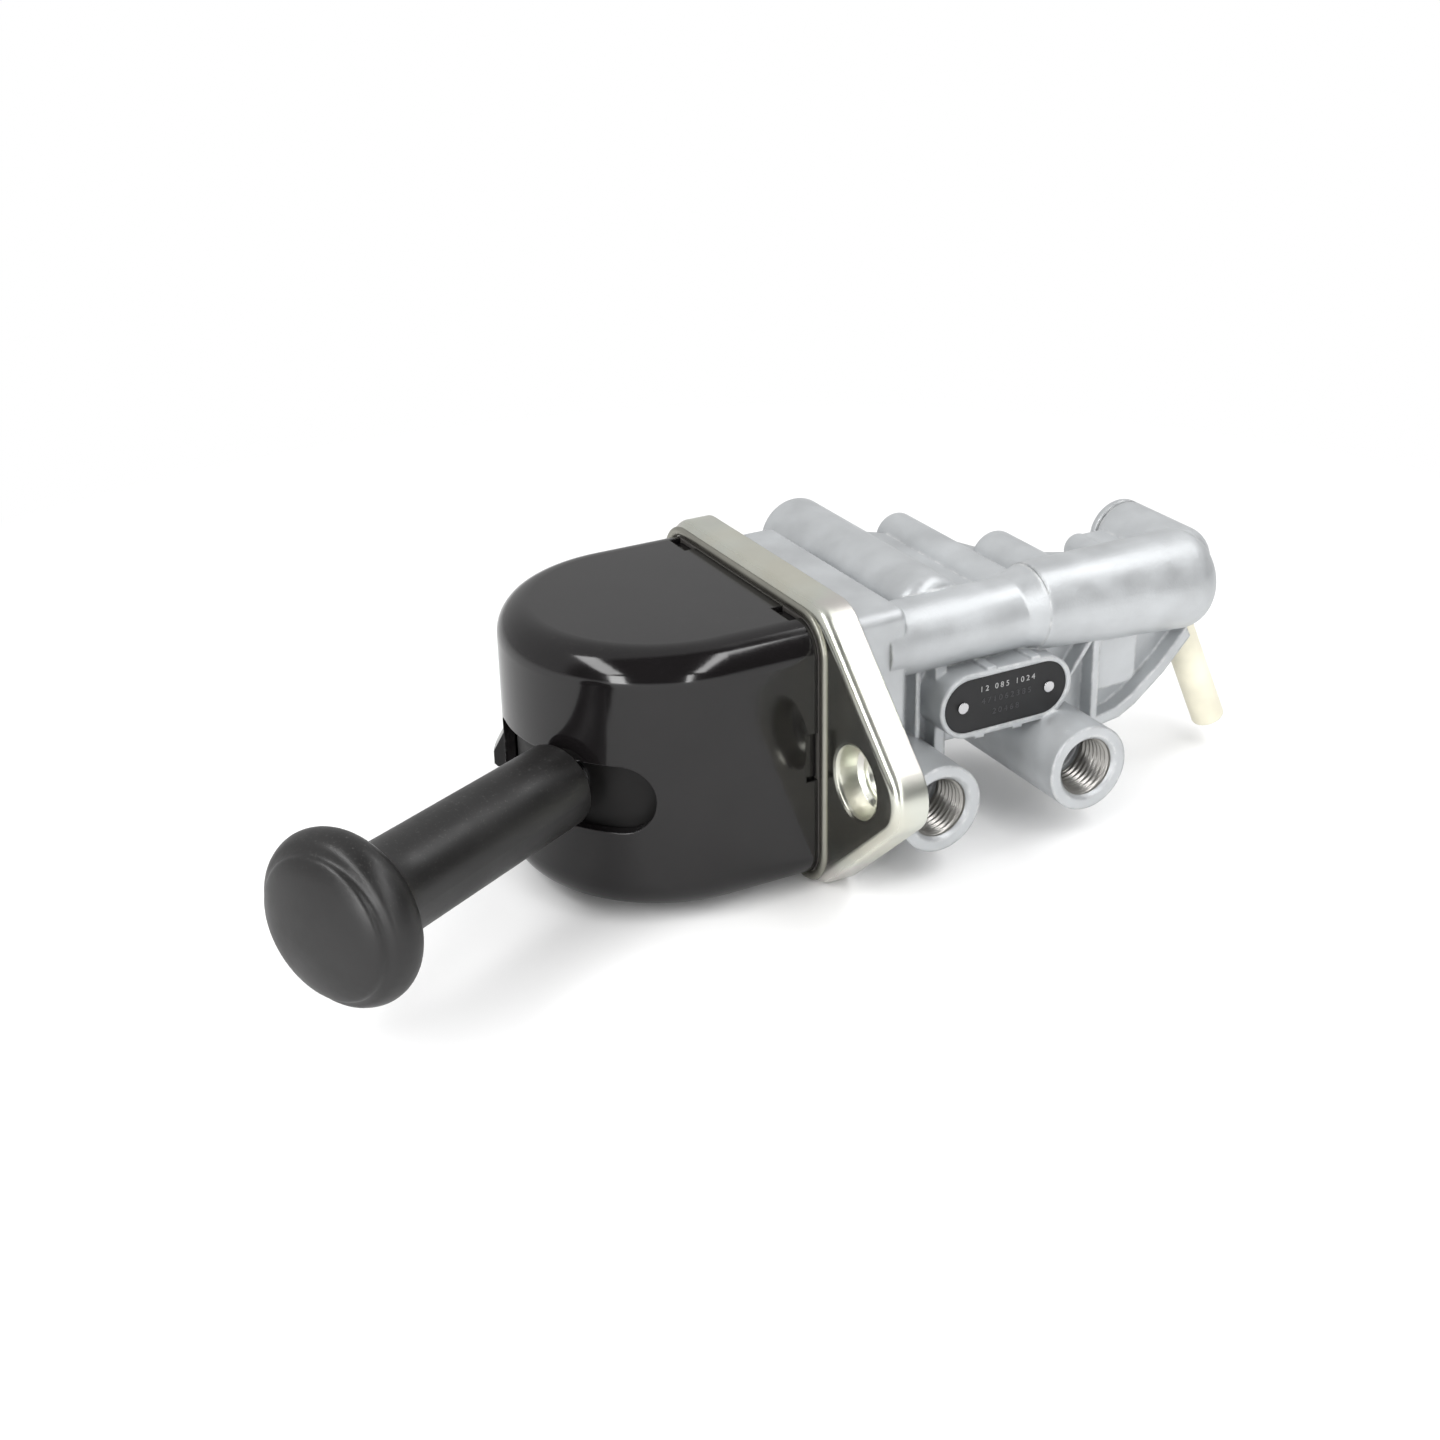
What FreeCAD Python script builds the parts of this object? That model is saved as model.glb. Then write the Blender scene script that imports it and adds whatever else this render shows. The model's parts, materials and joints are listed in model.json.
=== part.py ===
"""Hand operated parking brake valve, built as separate closed solids in millimetres.

Frame: X runs from the lever (-X) to the rear of the valve body (+X), Z is up with the flat of
the lever cover on top, and the two threaded ports face -Y.  Everything is drawn from the front
face of the flange plate, and each piece is then moved back by the depth of the plate, so that
the finished origin is the centre of the mounting plane, the rear rim of the plate.
"""
import FreeCAD, Part
import math
import os

V = FreeCAD.Vector
X_AXIS = V(1, 0, 0)
Y_AXIS = V(0, 1, 0)
Z_AXIS = V(0, 0, 1)

# fits and joints between pieces
RUNNING_FIT = 0.05
CLEARANCE = 0.3
OVERRUN = 10.0

# lever cover: a shell with a D outline seen from above
COVER_HALF_WIDTH = 36.5
COVER_HALF_HEIGHT = 31.5
COVER_EDGE_RADIUS = 7.5
COVER_WALL = 2.6
COVER_STRAIGHT = 22.0
HINGE_X = -COVER_STRAIGHT
COVER_GASKET_THICKNESS = 0.8
SLOT_BOTTOM = -11.0
SLOT_TOP = 5.4
SLOT_NEAR_ANGLE = 62.0
SLOT_FAR_ANGLE = -24.0
SNAP_TAB_WIDTH = 7.0
SNAP_SIDE_TAB_WIDTH = 10.5
SNAP_TAB_THICKNESS = 1.4
SNAP_BARB = 0.6
SNAP_INSET = 0.1
SNAP_NOTCH_DEPTH = 1.6
SNAP_NOTCH_MARGIN = 0.6
SNAP_END = 1.6
SNAP_Y = COVER_HALF_WIDTH - 11.5
SNAP_SIDE_Z = 0.5
SNAP_RECESS = 3.0
END_PAD_RISE = 2.6
END_PAD_ANGLE = 12.0
END_PAD_GAP_ANGLE = 0.8
END_PAD_BOTTOM = -10.5
END_PAD_SHOULDER = -6.5
END_PAD_TOP = -1.7
END_PAD_CHAMFER = 0.8

# hinge bracket inside the cover
BRACKET_SHEET = 2.2
BRACKET_INSET = 2.4
BRACKET_HALF_HEIGHT = COVER_HALF_HEIGHT - COVER_WALL - BRACKET_INSET
BRACKET_CHEEK_THICKNESS = 3.0
BRACKET_CHEEK_BOTTOM = BRACKET_HALF_HEIGHT - BRACKET_CHEEK_THICKNESS
BRACKET_FAR_INSET = 16.5
BRACKET_NEAR_INSET = 7.5
BRACKET_FAR_Y = COVER_HALF_WIDTH - BRACKET_FAR_INSET
BRACKET_NEAR_Y = BRACKET_NEAR_INSET - COVER_HALF_WIDTH
BRACKET_CHEEK_HALF_WIDTH = 8.0
SPRING_COIL_RADIUS = 9.3
SPRING_COIL_WIRE = 0.8
SPRING_COIL_TURNS = 4
SPRING_COIL_PITCH = 1.9

# lever: rest angle from -X towards -Y, and its travel each way
LEVER_REST_ANGLE = 27.5
LEVER_TRAVEL_FAR = -37.0
LEVER_TRAVEL_NEAR = 20.0
LEVER_Z = -0.4
ROD_RADIUS = 4.5
ROD_START = 10.0
HUB_RADIUS = 7.4
HUB_END_GAP = 1.5
HUB_HALF_HEIGHT = BRACKET_CHEEK_BOTTOM - HUB_END_GAP
HUB_SOCKET_RADIUS = 8.0
HUB_SOCKET_END = 20.0
HINGE_PIN_RADIUS = 4.0
HINGE_PIN_HEAD = 0.8
BUSH_RADIUS = 5.6
BUSH_LENGTH = 9.0
CAM_HEIGHT = 8.0
CAM_DROP = 0.6
CAM_TOP = HUB_HALF_HEIGHT - CAM_DROP
CAM_BOTTOM = CAM_TOP - CAM_HEIGHT
CAM_REST_REACH = 13.5
CAM_LIFT_PER_RADIAN = 9.0
CAM_MARGIN = 2.0
SHUTTER_GAP = 0.5
SHUTTER_THICKNESS = 1.5
SHUTTER_LAP = 2.5
SHUTTER_BOTTOM = SLOT_BOTTOM - SHUTTER_LAP
SHUTTER_TOP = SLOT_TOP + SHUTTER_LAP
SHUTTER_HALF_ANGLE = 72.0
SHUTTER_STUB_RADIUS = 7.0
SPRING_COIL_RISE = 2.5
SPRING_COIL_BOTTOM = SPRING_COIL_RISE - HUB_HALF_HEIGHT

# grip: sleeve and knob in one moulding, sliding on the rod
GRIP_STAND = 2.1
GRIP_START = COVER_HALF_WIDTH + GRIP_STAND
GRIP_START_RADIUS = 9.8
GRIP_RADIUS = 10.4
GRIP_EDGE = 0.8
GRIP_BORE = 6.9
GRIP_TRAVEL = 6.0
GRIP_GUIDE_LENGTH = 8.0
ROD_IN_GRIP = 45.4
ROD_END = GRIP_START + ROD_IN_GRIP
ROD_COLLAR_RADIUS = 6.6
ROD_COLLAR_LENGTH = 4.0
ROD_COLLAR_STEP = 1.0
GRIP_BORE_SPARE = 2.0
GRIP_BORE_END = ROD_END + GRIP_BORE_SPARE
KNOB_FLOOR = 5.0
KNOB_FLARE_LENGTH = 16.0
KNOB_FACE_HEIGHT = 9.0
KNOB_NECK_START = GRIP_BORE_END + KNOB_FLOOR
KNOB_RADIUS = 19.2
KNOB_RIM_CENTRE = KNOB_NECK_START + KNOB_FLARE_LENGTH
KNOB_RIM_ROUND = 5.6
KNOB_APEX = KNOB_RIM_CENTRE + KNOB_FACE_HEIGHT
KNOB_FACE_START = 64.8
KNOB_STEP_COUNT = 8
GRIP_SPRING_RADIUS = 5.8
GRIP_SPRING_WIRE = 0.6
GRIP_SPRING_TURNS = 5

# flange plate: a drawn tray, outline = four corner circles and two lug circles
PLATE_CORNER_RADIUS = 9.7
PLATE_SIDE_MARGIN = 3.1
PLATE_TOP_MARGIN = 3.2
PLATE_CORNER_SHIFT = -1.8
PLATE_CORNER_LIFT = 0.8
PLATE_CORNER_Y = COVER_HALF_WIDTH + PLATE_SIDE_MARGIN - PLATE_CORNER_RADIUS
PLATE_CORNER_Z = COVER_HALF_HEIGHT + PLATE_TOP_MARGIN - PLATE_CORNER_RADIUS
HOLE_MARGIN = 14.5
HOLE_HALF_SPACING = COVER_HALF_WIDTH + HOLE_MARGIN
HOLE_RADIUS = 4.5
PLATE_LUG_RADIUS = 9.5
PLATE_LUG_BEYOND = 7.6
PLATE_LUG_Y = HOLE_HALF_SPACING + PLATE_LUG_BEYOND
PLATE_DEPTH = 8.2
PLATE_SHEET = 2.0
PLATE_BEND = 2.4
SEAT_RIM_RADIUS = 9.3
SEAT_FLOOR_RADIUS = 7.4
SEAT_BEND = 1.1

# valve body casting, placed from the axis of its main barrel
MAIN_INSET = 14.5
MAIN_Y = MAIN_INSET - COVER_HALF_WIDTH
MAIN_Z = CAM_BOTTOM + CAM_HEIGHT / 2
GASKET_THICKNESS = 0.8
BLOCK_REAR = 27.0
BLOCK_NEAR_INSET = 6.5
BLOCK_FAR_INSET = 2.5
BLOCK_BOTTOM_INSET = 4.5
BLOCK_TOP_INSET = 3.6
BLOCK_NEAR = BLOCK_NEAR_INSET - COVER_HALF_WIDTH
BLOCK_FAR = COVER_HALF_WIDTH - BLOCK_FAR_INSET
BLOCK_BOTTOM = BLOCK_BOTTOM_INSET - COVER_HALF_HEIGHT
BLOCK_TOP = COVER_HALF_HEIGHT - BLOCK_TOP_INSET
BLOCK_ROUND = 2.0
MAIN_SMALL_RADIUS = 8.9
MAIN_LARGE_RADIUS = 10.6
MAIN_END_RADIUS = 12.8
MAIN_TOP_RISE = 11.0
MAIN_STEP_START = 59.5
MAIN_STEP_END = 65.0
MAIN_STEP_LAP = 0.6
MAIN_STEP_EASE = 0.15
MAIN_END = 116.5
MAIN_END_ROUND = 7.4
MAIN_BORE = 6.6
MAIN_BORE_END = 110.0
ARM_RISE = 1.6
ARM_Z = MAIN_Z + ARM_RISE
ARM_X = (40.6, 62.8, 75.6)
ARM_REACH = (68.5, 55.0, 29.4)
ARM_RADIUS = (9.8, 5.9, 6.7)
ARM_BORE = (5.2, 3.2, 3.2)
ARM_END_ROUND = 0.8
ARM_START = 2.0
ARM_START_ROUND = 4.0
PLUG_LENGTH = 4.0
PLUG_DEPTH = 1.0
SHELF_HALF_THICKNESS = 2.5
SHELF_X = (34.0, 44.0, 60.0, 66.0, 74.0, 90.0, 106.0)
SHELF_REACH = (63.0, 63.0, 49.0, 46.0, 25.0, 16.0, 18.0)
SHELF_END_INSET = 3.5
REAR_ARM_X = 114.2
REAR_ARM_START = -2.0
REAR_ARM_REACH = 29.5
REAR_ARM_FAR = MAIN_Y + REAR_ARM_REACH
REAR_ARM_RADIUS = 8.9
REAR_ARM_RISE = 0.6
REAR_ARM_Z = MAIN_Z + REAR_ARM_RISE
REAR_LUG_X = 98.4
REAR_LUG_RADIUS = 3.8
REAR_LUG_REACH = 26.0
REAR_LUG_ROUND = 1.2
REAR_LUG_EASE = 0.3
SIDE_CAP_THICKNESS = 2.4
SIDE_CAP_GROOVE = 0.8
SIDE_CAP_SPIGOT = 4.0
SIDE_CAP_SPIGOT_LENGTH = 8.0
WEB_THICKNESS = 3.6
WEB_RECESS = 0.6
WEB_NEAR = MAIN_Y - WEB_RECESS
WEB_FAR = WEB_NEAR + WEB_THICKNESS
WEB_EDGE_X = (78.0, 82.4, 91.2, 95.8, 104.4, 112.0)
WEB_EDGE_DROP = (29.4, 34.2, 32.9, 30.5, 23.6, 15.6)
WEB_EDGE_THICKNESS = 2.6
RIM_STAND = 4.4
RIM_NEAR = WEB_NEAR - RIM_STAND
RIB_TOP_DROP = 4.0
RIB_X = (31.2, 36.6, 82.2)
RIB_WIDTH = (1.2, 3.0, 2.0)
RIB_DROP = (31.4, 35.4, 34.0)
GUSSET_X = (82.4, 83.6, 75.9, 74.8)
GUSSET_DROP = (8.0, 8.0, 18.4, 18.4)
STEP_PANEL_START = 84.2
STEP_PANEL_END = 96.2
STEP_PANEL_DROP = 24.6
STEP_PANEL_ROUND = 3.0
STEP_PANEL_INSET = 1.2
LABEL_X = 52.9
LABEL_DROP = 16.4
LABEL_STAND = 10.2
LABEL_Z = MAIN_Z - LABEL_DROP
LABEL_LENGTH = 34.7
LABEL_HEIGHT = 13.7
LABEL_THICKNESS = 0.8
LABEL_RIM = 1.2
LABEL_RIM_STAND = 0.5
LABEL_FACE = MAIN_Y - LABEL_STAND
LABEL_TAB = 1.3
LABEL_TABS = ((-4.4, 1), (-7.4, -1), (3.4, -1), (8.1, 1))
RIVET_INSET = 5.2
RIVET_HEAD_RADIUS = 1.4
RIVET_HEAD_HEIGHT = 0.6
RIVET_SHANK_RADIUS = 0.9
RIVET_SHANK_LENGTH = 4.0
RIVET_X = (LABEL_X - LABEL_LENGTH / 2 + RIVET_INSET, LABEL_X + LABEL_LENGTH / 2 - RIVET_INSET)

# ports M16 x 1.5: the tapping radius is modelled, the thread is left to the look
PORT_X = (27.2, 68.8)
PORT_STAND = 22.6
PORT_BOSS_RADIUS = 10.7
PORT_BOSS_DROP = 0.2
PORT_Z = BLOCK_BOTTOM + PORT_BOSS_RADIUS - PORT_BOSS_DROP
PORT_MOUTH = MAIN_Y - PORT_STAND
PORT_BOSS_ROUND = 1.5
PORT_TAP_RADIUS = 7.25
PORT_CHAMFER = 0.9
PORT_DEPTH = 14.0
PORT_BOSS_LENGTH = (32.6, 53.6)
PORT_DRILL = 4.0
PORT_DRILL_STOP = 4.0
GALLERY_RADIUS = 1.6

# screws through the bracket, plate and gasket into the block
SCREW_RADIUS = 2.5
SCREW_HEAD_RADIUS = 4.2
SCREW_HEAD_HEIGHT = 2.8
SCREW_LENGTH = 20.0
SCREW_SOCKET = 2.0
SCREW_FLOOR = 1.0
SCREW_EDGE = 5.0
SCREW_ROW_DROP = 2.5
SCREW_ROW_Z = BRACKET_CHEEK_BOTTOM - SCREW_ROW_DROP
SCREW_NEAR_Y = BRACKET_NEAR_Y + SCREW_EDGE
SCREW_FAR_Y = BRACKET_FAR_Y - SCREW_EDGE
SCREW_MID_Z = 2.0
SCREW_POSITIONS = ((SCREW_FAR_Y, SCREW_ROW_Z), (SCREW_FAR_Y, -SCREW_ROW_Z), (SCREW_NEAR_Y, -SCREW_ROW_Z),
                   (SCREW_NEAR_Y, SCREW_MID_Z))
BRACKET_STEP = 6.5
BRACKET_STEP_Z = SCREW_MID_Z + BRACKET_STEP
BRACKET_MID_SHIFT = 8.5
BRACKET_MID_Y = MAIN_Y + BRACKET_MID_SHIFT

# working parts in the main bore
HEAD_THICKNESS = 2.5
HEAD_MARGIN = 0.8
HEAD_REACH = 17.5
HEAD_NEAR = BRACKET_NEAR_Y - HEAD_MARGIN
HEAD_FAR = MAIN_Y + HEAD_REACH
HEAD_BOTTOM = CAM_BOTTOM - HEAD_MARGIN
HEAD_TOP = CAM_TOP + HEAD_MARGIN
PLUNGER_RADIUS = 4.0
PLUNGER_SEAT_X = 24.0
PLUNGER_SEAT_RADIUS = 6.3
PLUNGER_SEAT_THICKNESS = 2.0
GUIDE_LENGTH = 12.0
SEAL_SECTION = 1.4
SEAL_WIDTH = 2.0
PISTON_X = 44.0
PISTON_LENGTH = 12.0
PISTON_STEM_RADIUS = 3.0
PISTON_STEM_BORE = 1.6
PISTON_FACE = 4.0
PISTON_PER_PLUNGER = 0.35
SPRING_WIRE = 0.6
SPRING_RADIUS = 5.2
VALVE_SPRING_RADIUS = 4.2
SPRING_TURNS = 5
SEAT_RING_X = 60.0
SEAT_RING_LENGTH = 4.2
SEAT_RING_BORE = 4.2
PISTON_STEM_GAP = 1.6
PISTON_STEM_END = SEAT_RING_X + SEAT_RING_LENGTH - PISTON_STEM_GAP
DISC_RADIUS = 5.6
DISC_THICKNESS = 3.0
DISC_GAP = 0.02
DISC_STEM_RADIUS = 2.2
DISC_TRAVEL = 1.5
SPRING_SEAT_X = 82.0
SPRING_SEAT_LENGTH = 8.0
DISC_STEM_SHORT = 2.0
DISC_STEM_END = SPRING_SEAT_X + SPRING_SEAT_LENGTH - DISC_STEM_SHORT

# exhaust tube at the rear underside
TUBE_SHIFT = 4.0
TUBE_TOP_X = 111.2
TUBE_TOP_DROP = 8.4
TUBE_RUN = 16.3
TUBE_FALL = 36.2
TUBE_RADIUS = 4.2
TUBE_BORE = 2.9
EXHAUST_DRILL = 2.6
EXHAUST_DRILL_LENGTH = 9.0

LEVER_DIRECTION = V(-math.cos(math.radians(LEVER_REST_ANGLE)),
                    -math.sin(math.radians(LEVER_REST_ANGLE)), 0)
LEVER_ORIGIN = V(HINGE_X, 0, LEVER_Z)


def cylinder(radius, start, end):
    """Solid cylinder between two points."""
    a = V(*start)
    b = V(*end)
    return Part.makeCylinder(radius, (b - a).Length, a, b - a)


def along_x(radius, x0, x1, y, z):
    return cylinder(radius, (x0, y, z), (x1, y, z))


def along_y(radius, y0, y1, x, z):
    return cylinder(radius, (x, y0, z), (x, y1, z))


def along_z(radius, z0, z1, x, y):
    return cylinder(radius, (x, y, z0), (x, y, z1))


def block(x0, x1, y0, y1, z0, z1):
    return Part.makeBox(x1 - x0, y1 - y0, z1 - z0, V(x0, y0, z0))


def on_lever(distance, offset=0.0, z=LEVER_Z):
    """Point at a distance from the hinge along the lever, offset sideways."""
    side = V(-LEVER_DIRECTION.y, LEVER_DIRECTION.x, 0)
    point = LEVER_ORIGIN + LEVER_DIRECTION * distance + side * offset
    return (point.x, point.y, z)


def lever_cylinder(radius, start, end):
    return cylinder(radius, on_lever(start), on_lever(end))


def prism(points, direction):
    """Closed polygon swept along a vector."""
    wire = Part.makePolygon([V(*p) for p in points] + [V(*points[0])])
    return Part.Face(wire).extrude(V(*direction))


def outline_of_circles(centres, x):
    """Convex outline in the YZ plane wrapped round circles (y, z, radius) given in turn."""
    edges = []
    count = len(centres)
    tangents = []
    for i in range(count):
        y0, z0, r0 = centres[i]
        y1, z1, r1 = centres[(i + 1) % count]
        dy = y1 - y0
        dz = z1 - z0
        length = math.hypot(dy, dz)
        heading = math.atan2(dz, dy)
        tilt = math.asin((r0 - r1) / length)
        normal = heading - math.pi / 2 + tilt
        ny = math.cos(normal)
        nz = math.sin(normal)
        start = V(x, y0 + r0 * ny, z0 + r0 * nz)
        end = V(x, y1 + r1 * ny, z1 + r1 * nz)
        tangents.append((start, end, normal))
    for i in range(count):
        start, end, normal = tangents[i]
        after = tangents[(i + 1) % count]
        y1, z1, r1 = centres[(i + 1) % count]
        edges.append(Part.makeLine(start, end))
        turn = (after[2] - normal) % (2 * math.pi)
        middle = normal + turn / 2
        mid = V(x, y1 + r1 * math.cos(middle), z1 + r1 * math.sin(middle))
        edges.append(Part.Arc(end, mid, after[0]).toShape())
    return Part.Wire(Part.__sortEdges__(edges))


def plate_prism(x0, x1, inset):
    """Flange outline moved inwards by inset and extruded along X."""
    corner = PLATE_CORNER_RADIUS - inset
    lug = PLATE_LUG_RADIUS - inset
    far = PLATE_CORNER_SHIFT + PLATE_CORNER_Y
    near = PLATE_CORNER_SHIFT - PLATE_CORNER_Y
    top = PLATE_CORNER_LIFT + PLATE_CORNER_Z
    bottom = PLATE_CORNER_LIFT - PLATE_CORNER_Z
    centres = [(far, bottom, corner), (PLATE_LUG_Y, 0, lug), (far, top, corner),
               (near, top, corner), (-PLATE_LUG_Y, 0, lug), (near, bottom, corner)]
    wire = outline_of_circles(centres, x0)
    return Part.Face(wire).extrude(V(x1 - x0, 0, 0))


def edges_at_x(shape, x):
    """Edges whose two ends and middle lie in the plane x."""
    picked = []
    for edge in shape.Edges:
        box = edge.BoundBox
        if abs(box.XMin - x) < 1e-4 and abs(box.XMax - x) < 1e-4:
            picked.append(edge)
    return picked


def mounting_plate():
    outer = plate_prism(0, PLATE_DEPTH, 0)
    outer = outer.makeFillet(PLATE_BEND, edges_at_x(outer, 0))
    inner = plate_prism(PLATE_SHEET, PLATE_DEPTH + 1, PLATE_SHEET)
    inner = inner.makeFillet(PLATE_BEND - PLATE_SHEET, edges_at_x(inner, PLATE_SHEET))
    plate = outer.cut(inner)
    for side in (-1, 1):
        y = side * HOLE_HALF_SPACING
        plate = plate.fuse(seat_cup(y, SEAT_FLOOR_RADIUS + PLATE_SHEET, PLATE_SHEET / 2, PLATE_DEPTH))
        plate = plate.cut(seat_hollow(y))
        plate = plate.cut(along_x(HOLE_RADIUS, 0, PLATE_DEPTH + 1, y, 0))
    for y, z in SCREW_POSITIONS:
        plate = plate.cut(along_x(SCREW_RADIUS, -1, PLATE_DEPTH, y, z))
    plate = plate.cut(along_x(MAIN_BORE, -1, PLATE_DEPTH, MAIN_Y, MAIN_Z))
    for tab in snap_tab_boxes(CLEARANCE):
        plate = plate.cut(tab)
    return plate.removeSplitter()


def seat_cup(y, radius, x0, x1):
    return along_x(radius, x0, x1, y, 0)


def seat_hollow(y):
    """Dished seat: a rounded rim, a steep wall and a flat floor, turned about its own axis."""
    floor_x = PLATE_DEPTH - PLATE_SHEET
    rim = [V(-1, y, 0), V(-1, y + SEAT_RIM_RADIUS, 0), V(0, y + SEAT_RIM_RADIUS, 0),
           V(SEAT_BEND * 0.3, y + SEAT_RIM_RADIUS - SEAT_BEND * 0.7, 0),
           V(SEAT_BEND, y + SEAT_RIM_RADIUS - SEAT_BEND, 0),
           V(floor_x - SEAT_BEND, y + SEAT_FLOOR_RADIUS, 0),
           V(floor_x, y + SEAT_FLOOR_RADIUS - SEAT_BEND, 0), V(floor_x, y, 0), V(-1, y, 0)]
    face = Part.Face(Part.makePolygon(rim))
    return face.revolve(V(0, y, 0), X_AXIS, 360)


def cover_prism(x1, inset):
    """D shaped solid: half cylinder about the hinge axis and a straight part up to x1."""
    radius = COVER_HALF_WIDTH - inset
    half = COVER_HALF_HEIGHT - inset
    arc = Part.Arc(V(HINGE_X, radius, -half), V(HINGE_X - radius, 0, -half), V(HINGE_X, -radius, -half))
    sides = [arc.toShape(), Part.makeLine(V(HINGE_X, -radius, -half), V(x1, -radius, -half)),
             Part.makeLine(V(x1, -radius, -half), V(x1, radius, -half)),
             Part.makeLine(V(x1, radius, -half), V(HINGE_X, radius, -half))]
    solid = Part.Face(Part.Wire(Part.__sortEdges__(sides))).extrude(V(0, 0, 2 * half))
    rims = []
    for edge in solid.Edges:
        box = edge.BoundBox
        flat = abs(box.ZMax - box.ZMin) < 1e-6
        if flat and box.XMin < x1 - 1e-3:
            rims.append(edge)
    return solid.makeFillet(COVER_EDGE_RADIUS - inset, rims)


def wedge(angle0, angle1, radius, z0, z1):
    """Pie slice about the hinge axis; angles run from -X towards -Y."""
    start = V(HINGE_X, 0, z0)
    a0 = math.radians(angle0)
    a1 = math.radians(angle1)
    am = (a0 + a1) / 2
    points = []
    for a in (a0, am, a1):
        points.append(V(HINGE_X - radius * math.cos(a), -radius * math.sin(a), z0))
    edges = [Part.makeLine(start, points[0]), Part.Arc(*points).toShape(), Part.makeLine(points[2], start)]
    return Part.Face(Part.Wire(edges)).extrude(V(0, 0, z1 - z0))


def slot_tool():
    """Lever slot: a band of the half cylinder with round ends."""
    half = (SLOT_TOP - SLOT_BOTTOM) / 2
    middle = (SLOT_TOP + SLOT_BOTTOM) / 2
    end_angle = math.degrees(math.asin(half / COVER_HALF_WIDTH))
    reach = COVER_HALF_WIDTH + 5
    near = SLOT_NEAR_ANGLE - end_angle
    far = SLOT_FAR_ANGLE + end_angle
    tool = wedge(far, near, reach, SLOT_BOTTOM, SLOT_TOP)
    for angle in (near, far):
        a = math.radians(angle)
        tip = (HINGE_X - reach * math.cos(a), -reach * math.sin(a), middle)
        tool = tool.fuse(cylinder(half, (HINGE_X, 0, middle), tip))
    return tool


def snap_tab_boxes(grow):
    """Tongues of the cover that pass through the plate, as boxes grown by a clearance."""
    boxes = []
    low = -COVER_GASKET_THICKNESS - SNAP_RECESS
    end = PLATE_SHEET + SNAP_END
    half = SNAP_TAB_WIDTH / 2 + grow
    wall = COVER_HALF_HEIGHT - COVER_WALL + SNAP_INSET
    for y in (-SNAP_Y, SNAP_Y):
        for side in (-1, 1):
            z0 = side * (wall - grow)
            z1 = side * (wall + SNAP_TAB_THICKNESS + grow)
            boxes.append(block(low, end, y - half, y + half, min(z0, z1), max(z0, z1)))
    half = SNAP_SIDE_TAB_WIDTH / 2 + grow
    wall = COVER_HALF_WIDTH - COVER_WALL + SNAP_INSET
    for side in (-1, 1):
        y0 = side * (wall - grow)
        y1 = side * (wall + SNAP_TAB_THICKNESS + grow)
        boxes.append(block(low, end, min(y0, y1), max(y0, y1), SNAP_SIDE_Z - half, SNAP_SIDE_Z + half))
    return boxes


def snap_notches(rim):
    """Shallow notches in the outside of the cover over each snap tab."""
    half = SNAP_TAB_WIDTH / 2 + SNAP_NOTCH_MARGIN
    notches = []
    inner = COVER_HALF_HEIGHT - SNAP_NOTCH_DEPTH
    outer = COVER_HALF_HEIGHT + 1
    for y in (-SNAP_Y, SNAP_Y):
        for side in (-1, 1):
            z0 = min(side * inner, side * outer)
            z1 = max(side * inner, side * outer)
            notches.append(block(rim - SNAP_RECESS, rim + 1, y - half, y + half, z0, z1))
    half = SNAP_SIDE_TAB_WIDTH / 2 + SNAP_NOTCH_MARGIN
    inner = COVER_HALF_WIDTH - SNAP_NOTCH_DEPTH
    outer = COVER_HALF_WIDTH + 1
    for side in (-1, 1):
        y0 = min(side * inner, side * outer)
        y1 = max(side * inner, side * outer)
        notches.append(block(rim - SNAP_RECESS, rim + 1, y0, y1, SNAP_SIDE_Z - half, SNAP_SIDE_Z + half))
    return notches


def snap_barbs():
    """Hooks at the ends of the snap tabs, behind the plate."""
    half = SNAP_TAB_WIDTH / 2
    start = PLATE_SHEET + 0.1
    end = PLATE_SHEET + SNAP_END
    barbs = []
    top = COVER_HALF_HEIGHT - COVER_WALL + SNAP_INSET + SNAP_TAB_THICKNESS
    for y in (-SNAP_Y, SNAP_Y):
        for side in (-1, 1):
            z0 = side * (top - 0.2)
            z1 = side * (top + SNAP_BARB)
            barbs.append(block(start, end, y - half, y + half, min(z0, z1), max(z0, z1)))
    half = SNAP_SIDE_TAB_WIDTH / 2
    top = COVER_HALF_WIDTH - COVER_WALL + SNAP_INSET + SNAP_TAB_THICKNESS
    for side in (-1, 1):
        y0 = side * (top - 0.2)
        y1 = side * (top + SNAP_BARB)
        barbs.append(block(start, end, min(y0, y1), max(y0, y1), SNAP_SIDE_Z - half, SNAP_SIDE_Z + half))
    return barbs


def end_pad():
    """Raised stop beyond the far end of the slot, with a sloping top."""
    root = COVER_HALF_WIDTH - COVER_WALL / 2
    crest = COVER_HALF_WIDTH + END_PAD_RISE
    section = [(root, END_PAD_BOTTOM), (crest - END_PAD_CHAMFER, END_PAD_BOTTOM),
               (crest, END_PAD_BOTTOM + END_PAD_CHAMFER), (crest, END_PAD_SHOULDER),
               (COVER_HALF_WIDTH, END_PAD_TOP), (root, END_PAD_TOP)]
    a = math.radians(SLOT_FAR_ANGLE - END_PAD_GAP_ANGLE)
    points = []
    for radius, z in section:
        points.append(V(HINGE_X - radius * math.cos(a), -radius * math.sin(a), z))
    face = Part.Face(Part.makePolygon(points + [points[0]]))
    return face.revolve(V(HINGE_X, 0, 0), Z_AXIS, -END_PAD_ANGLE)


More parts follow.
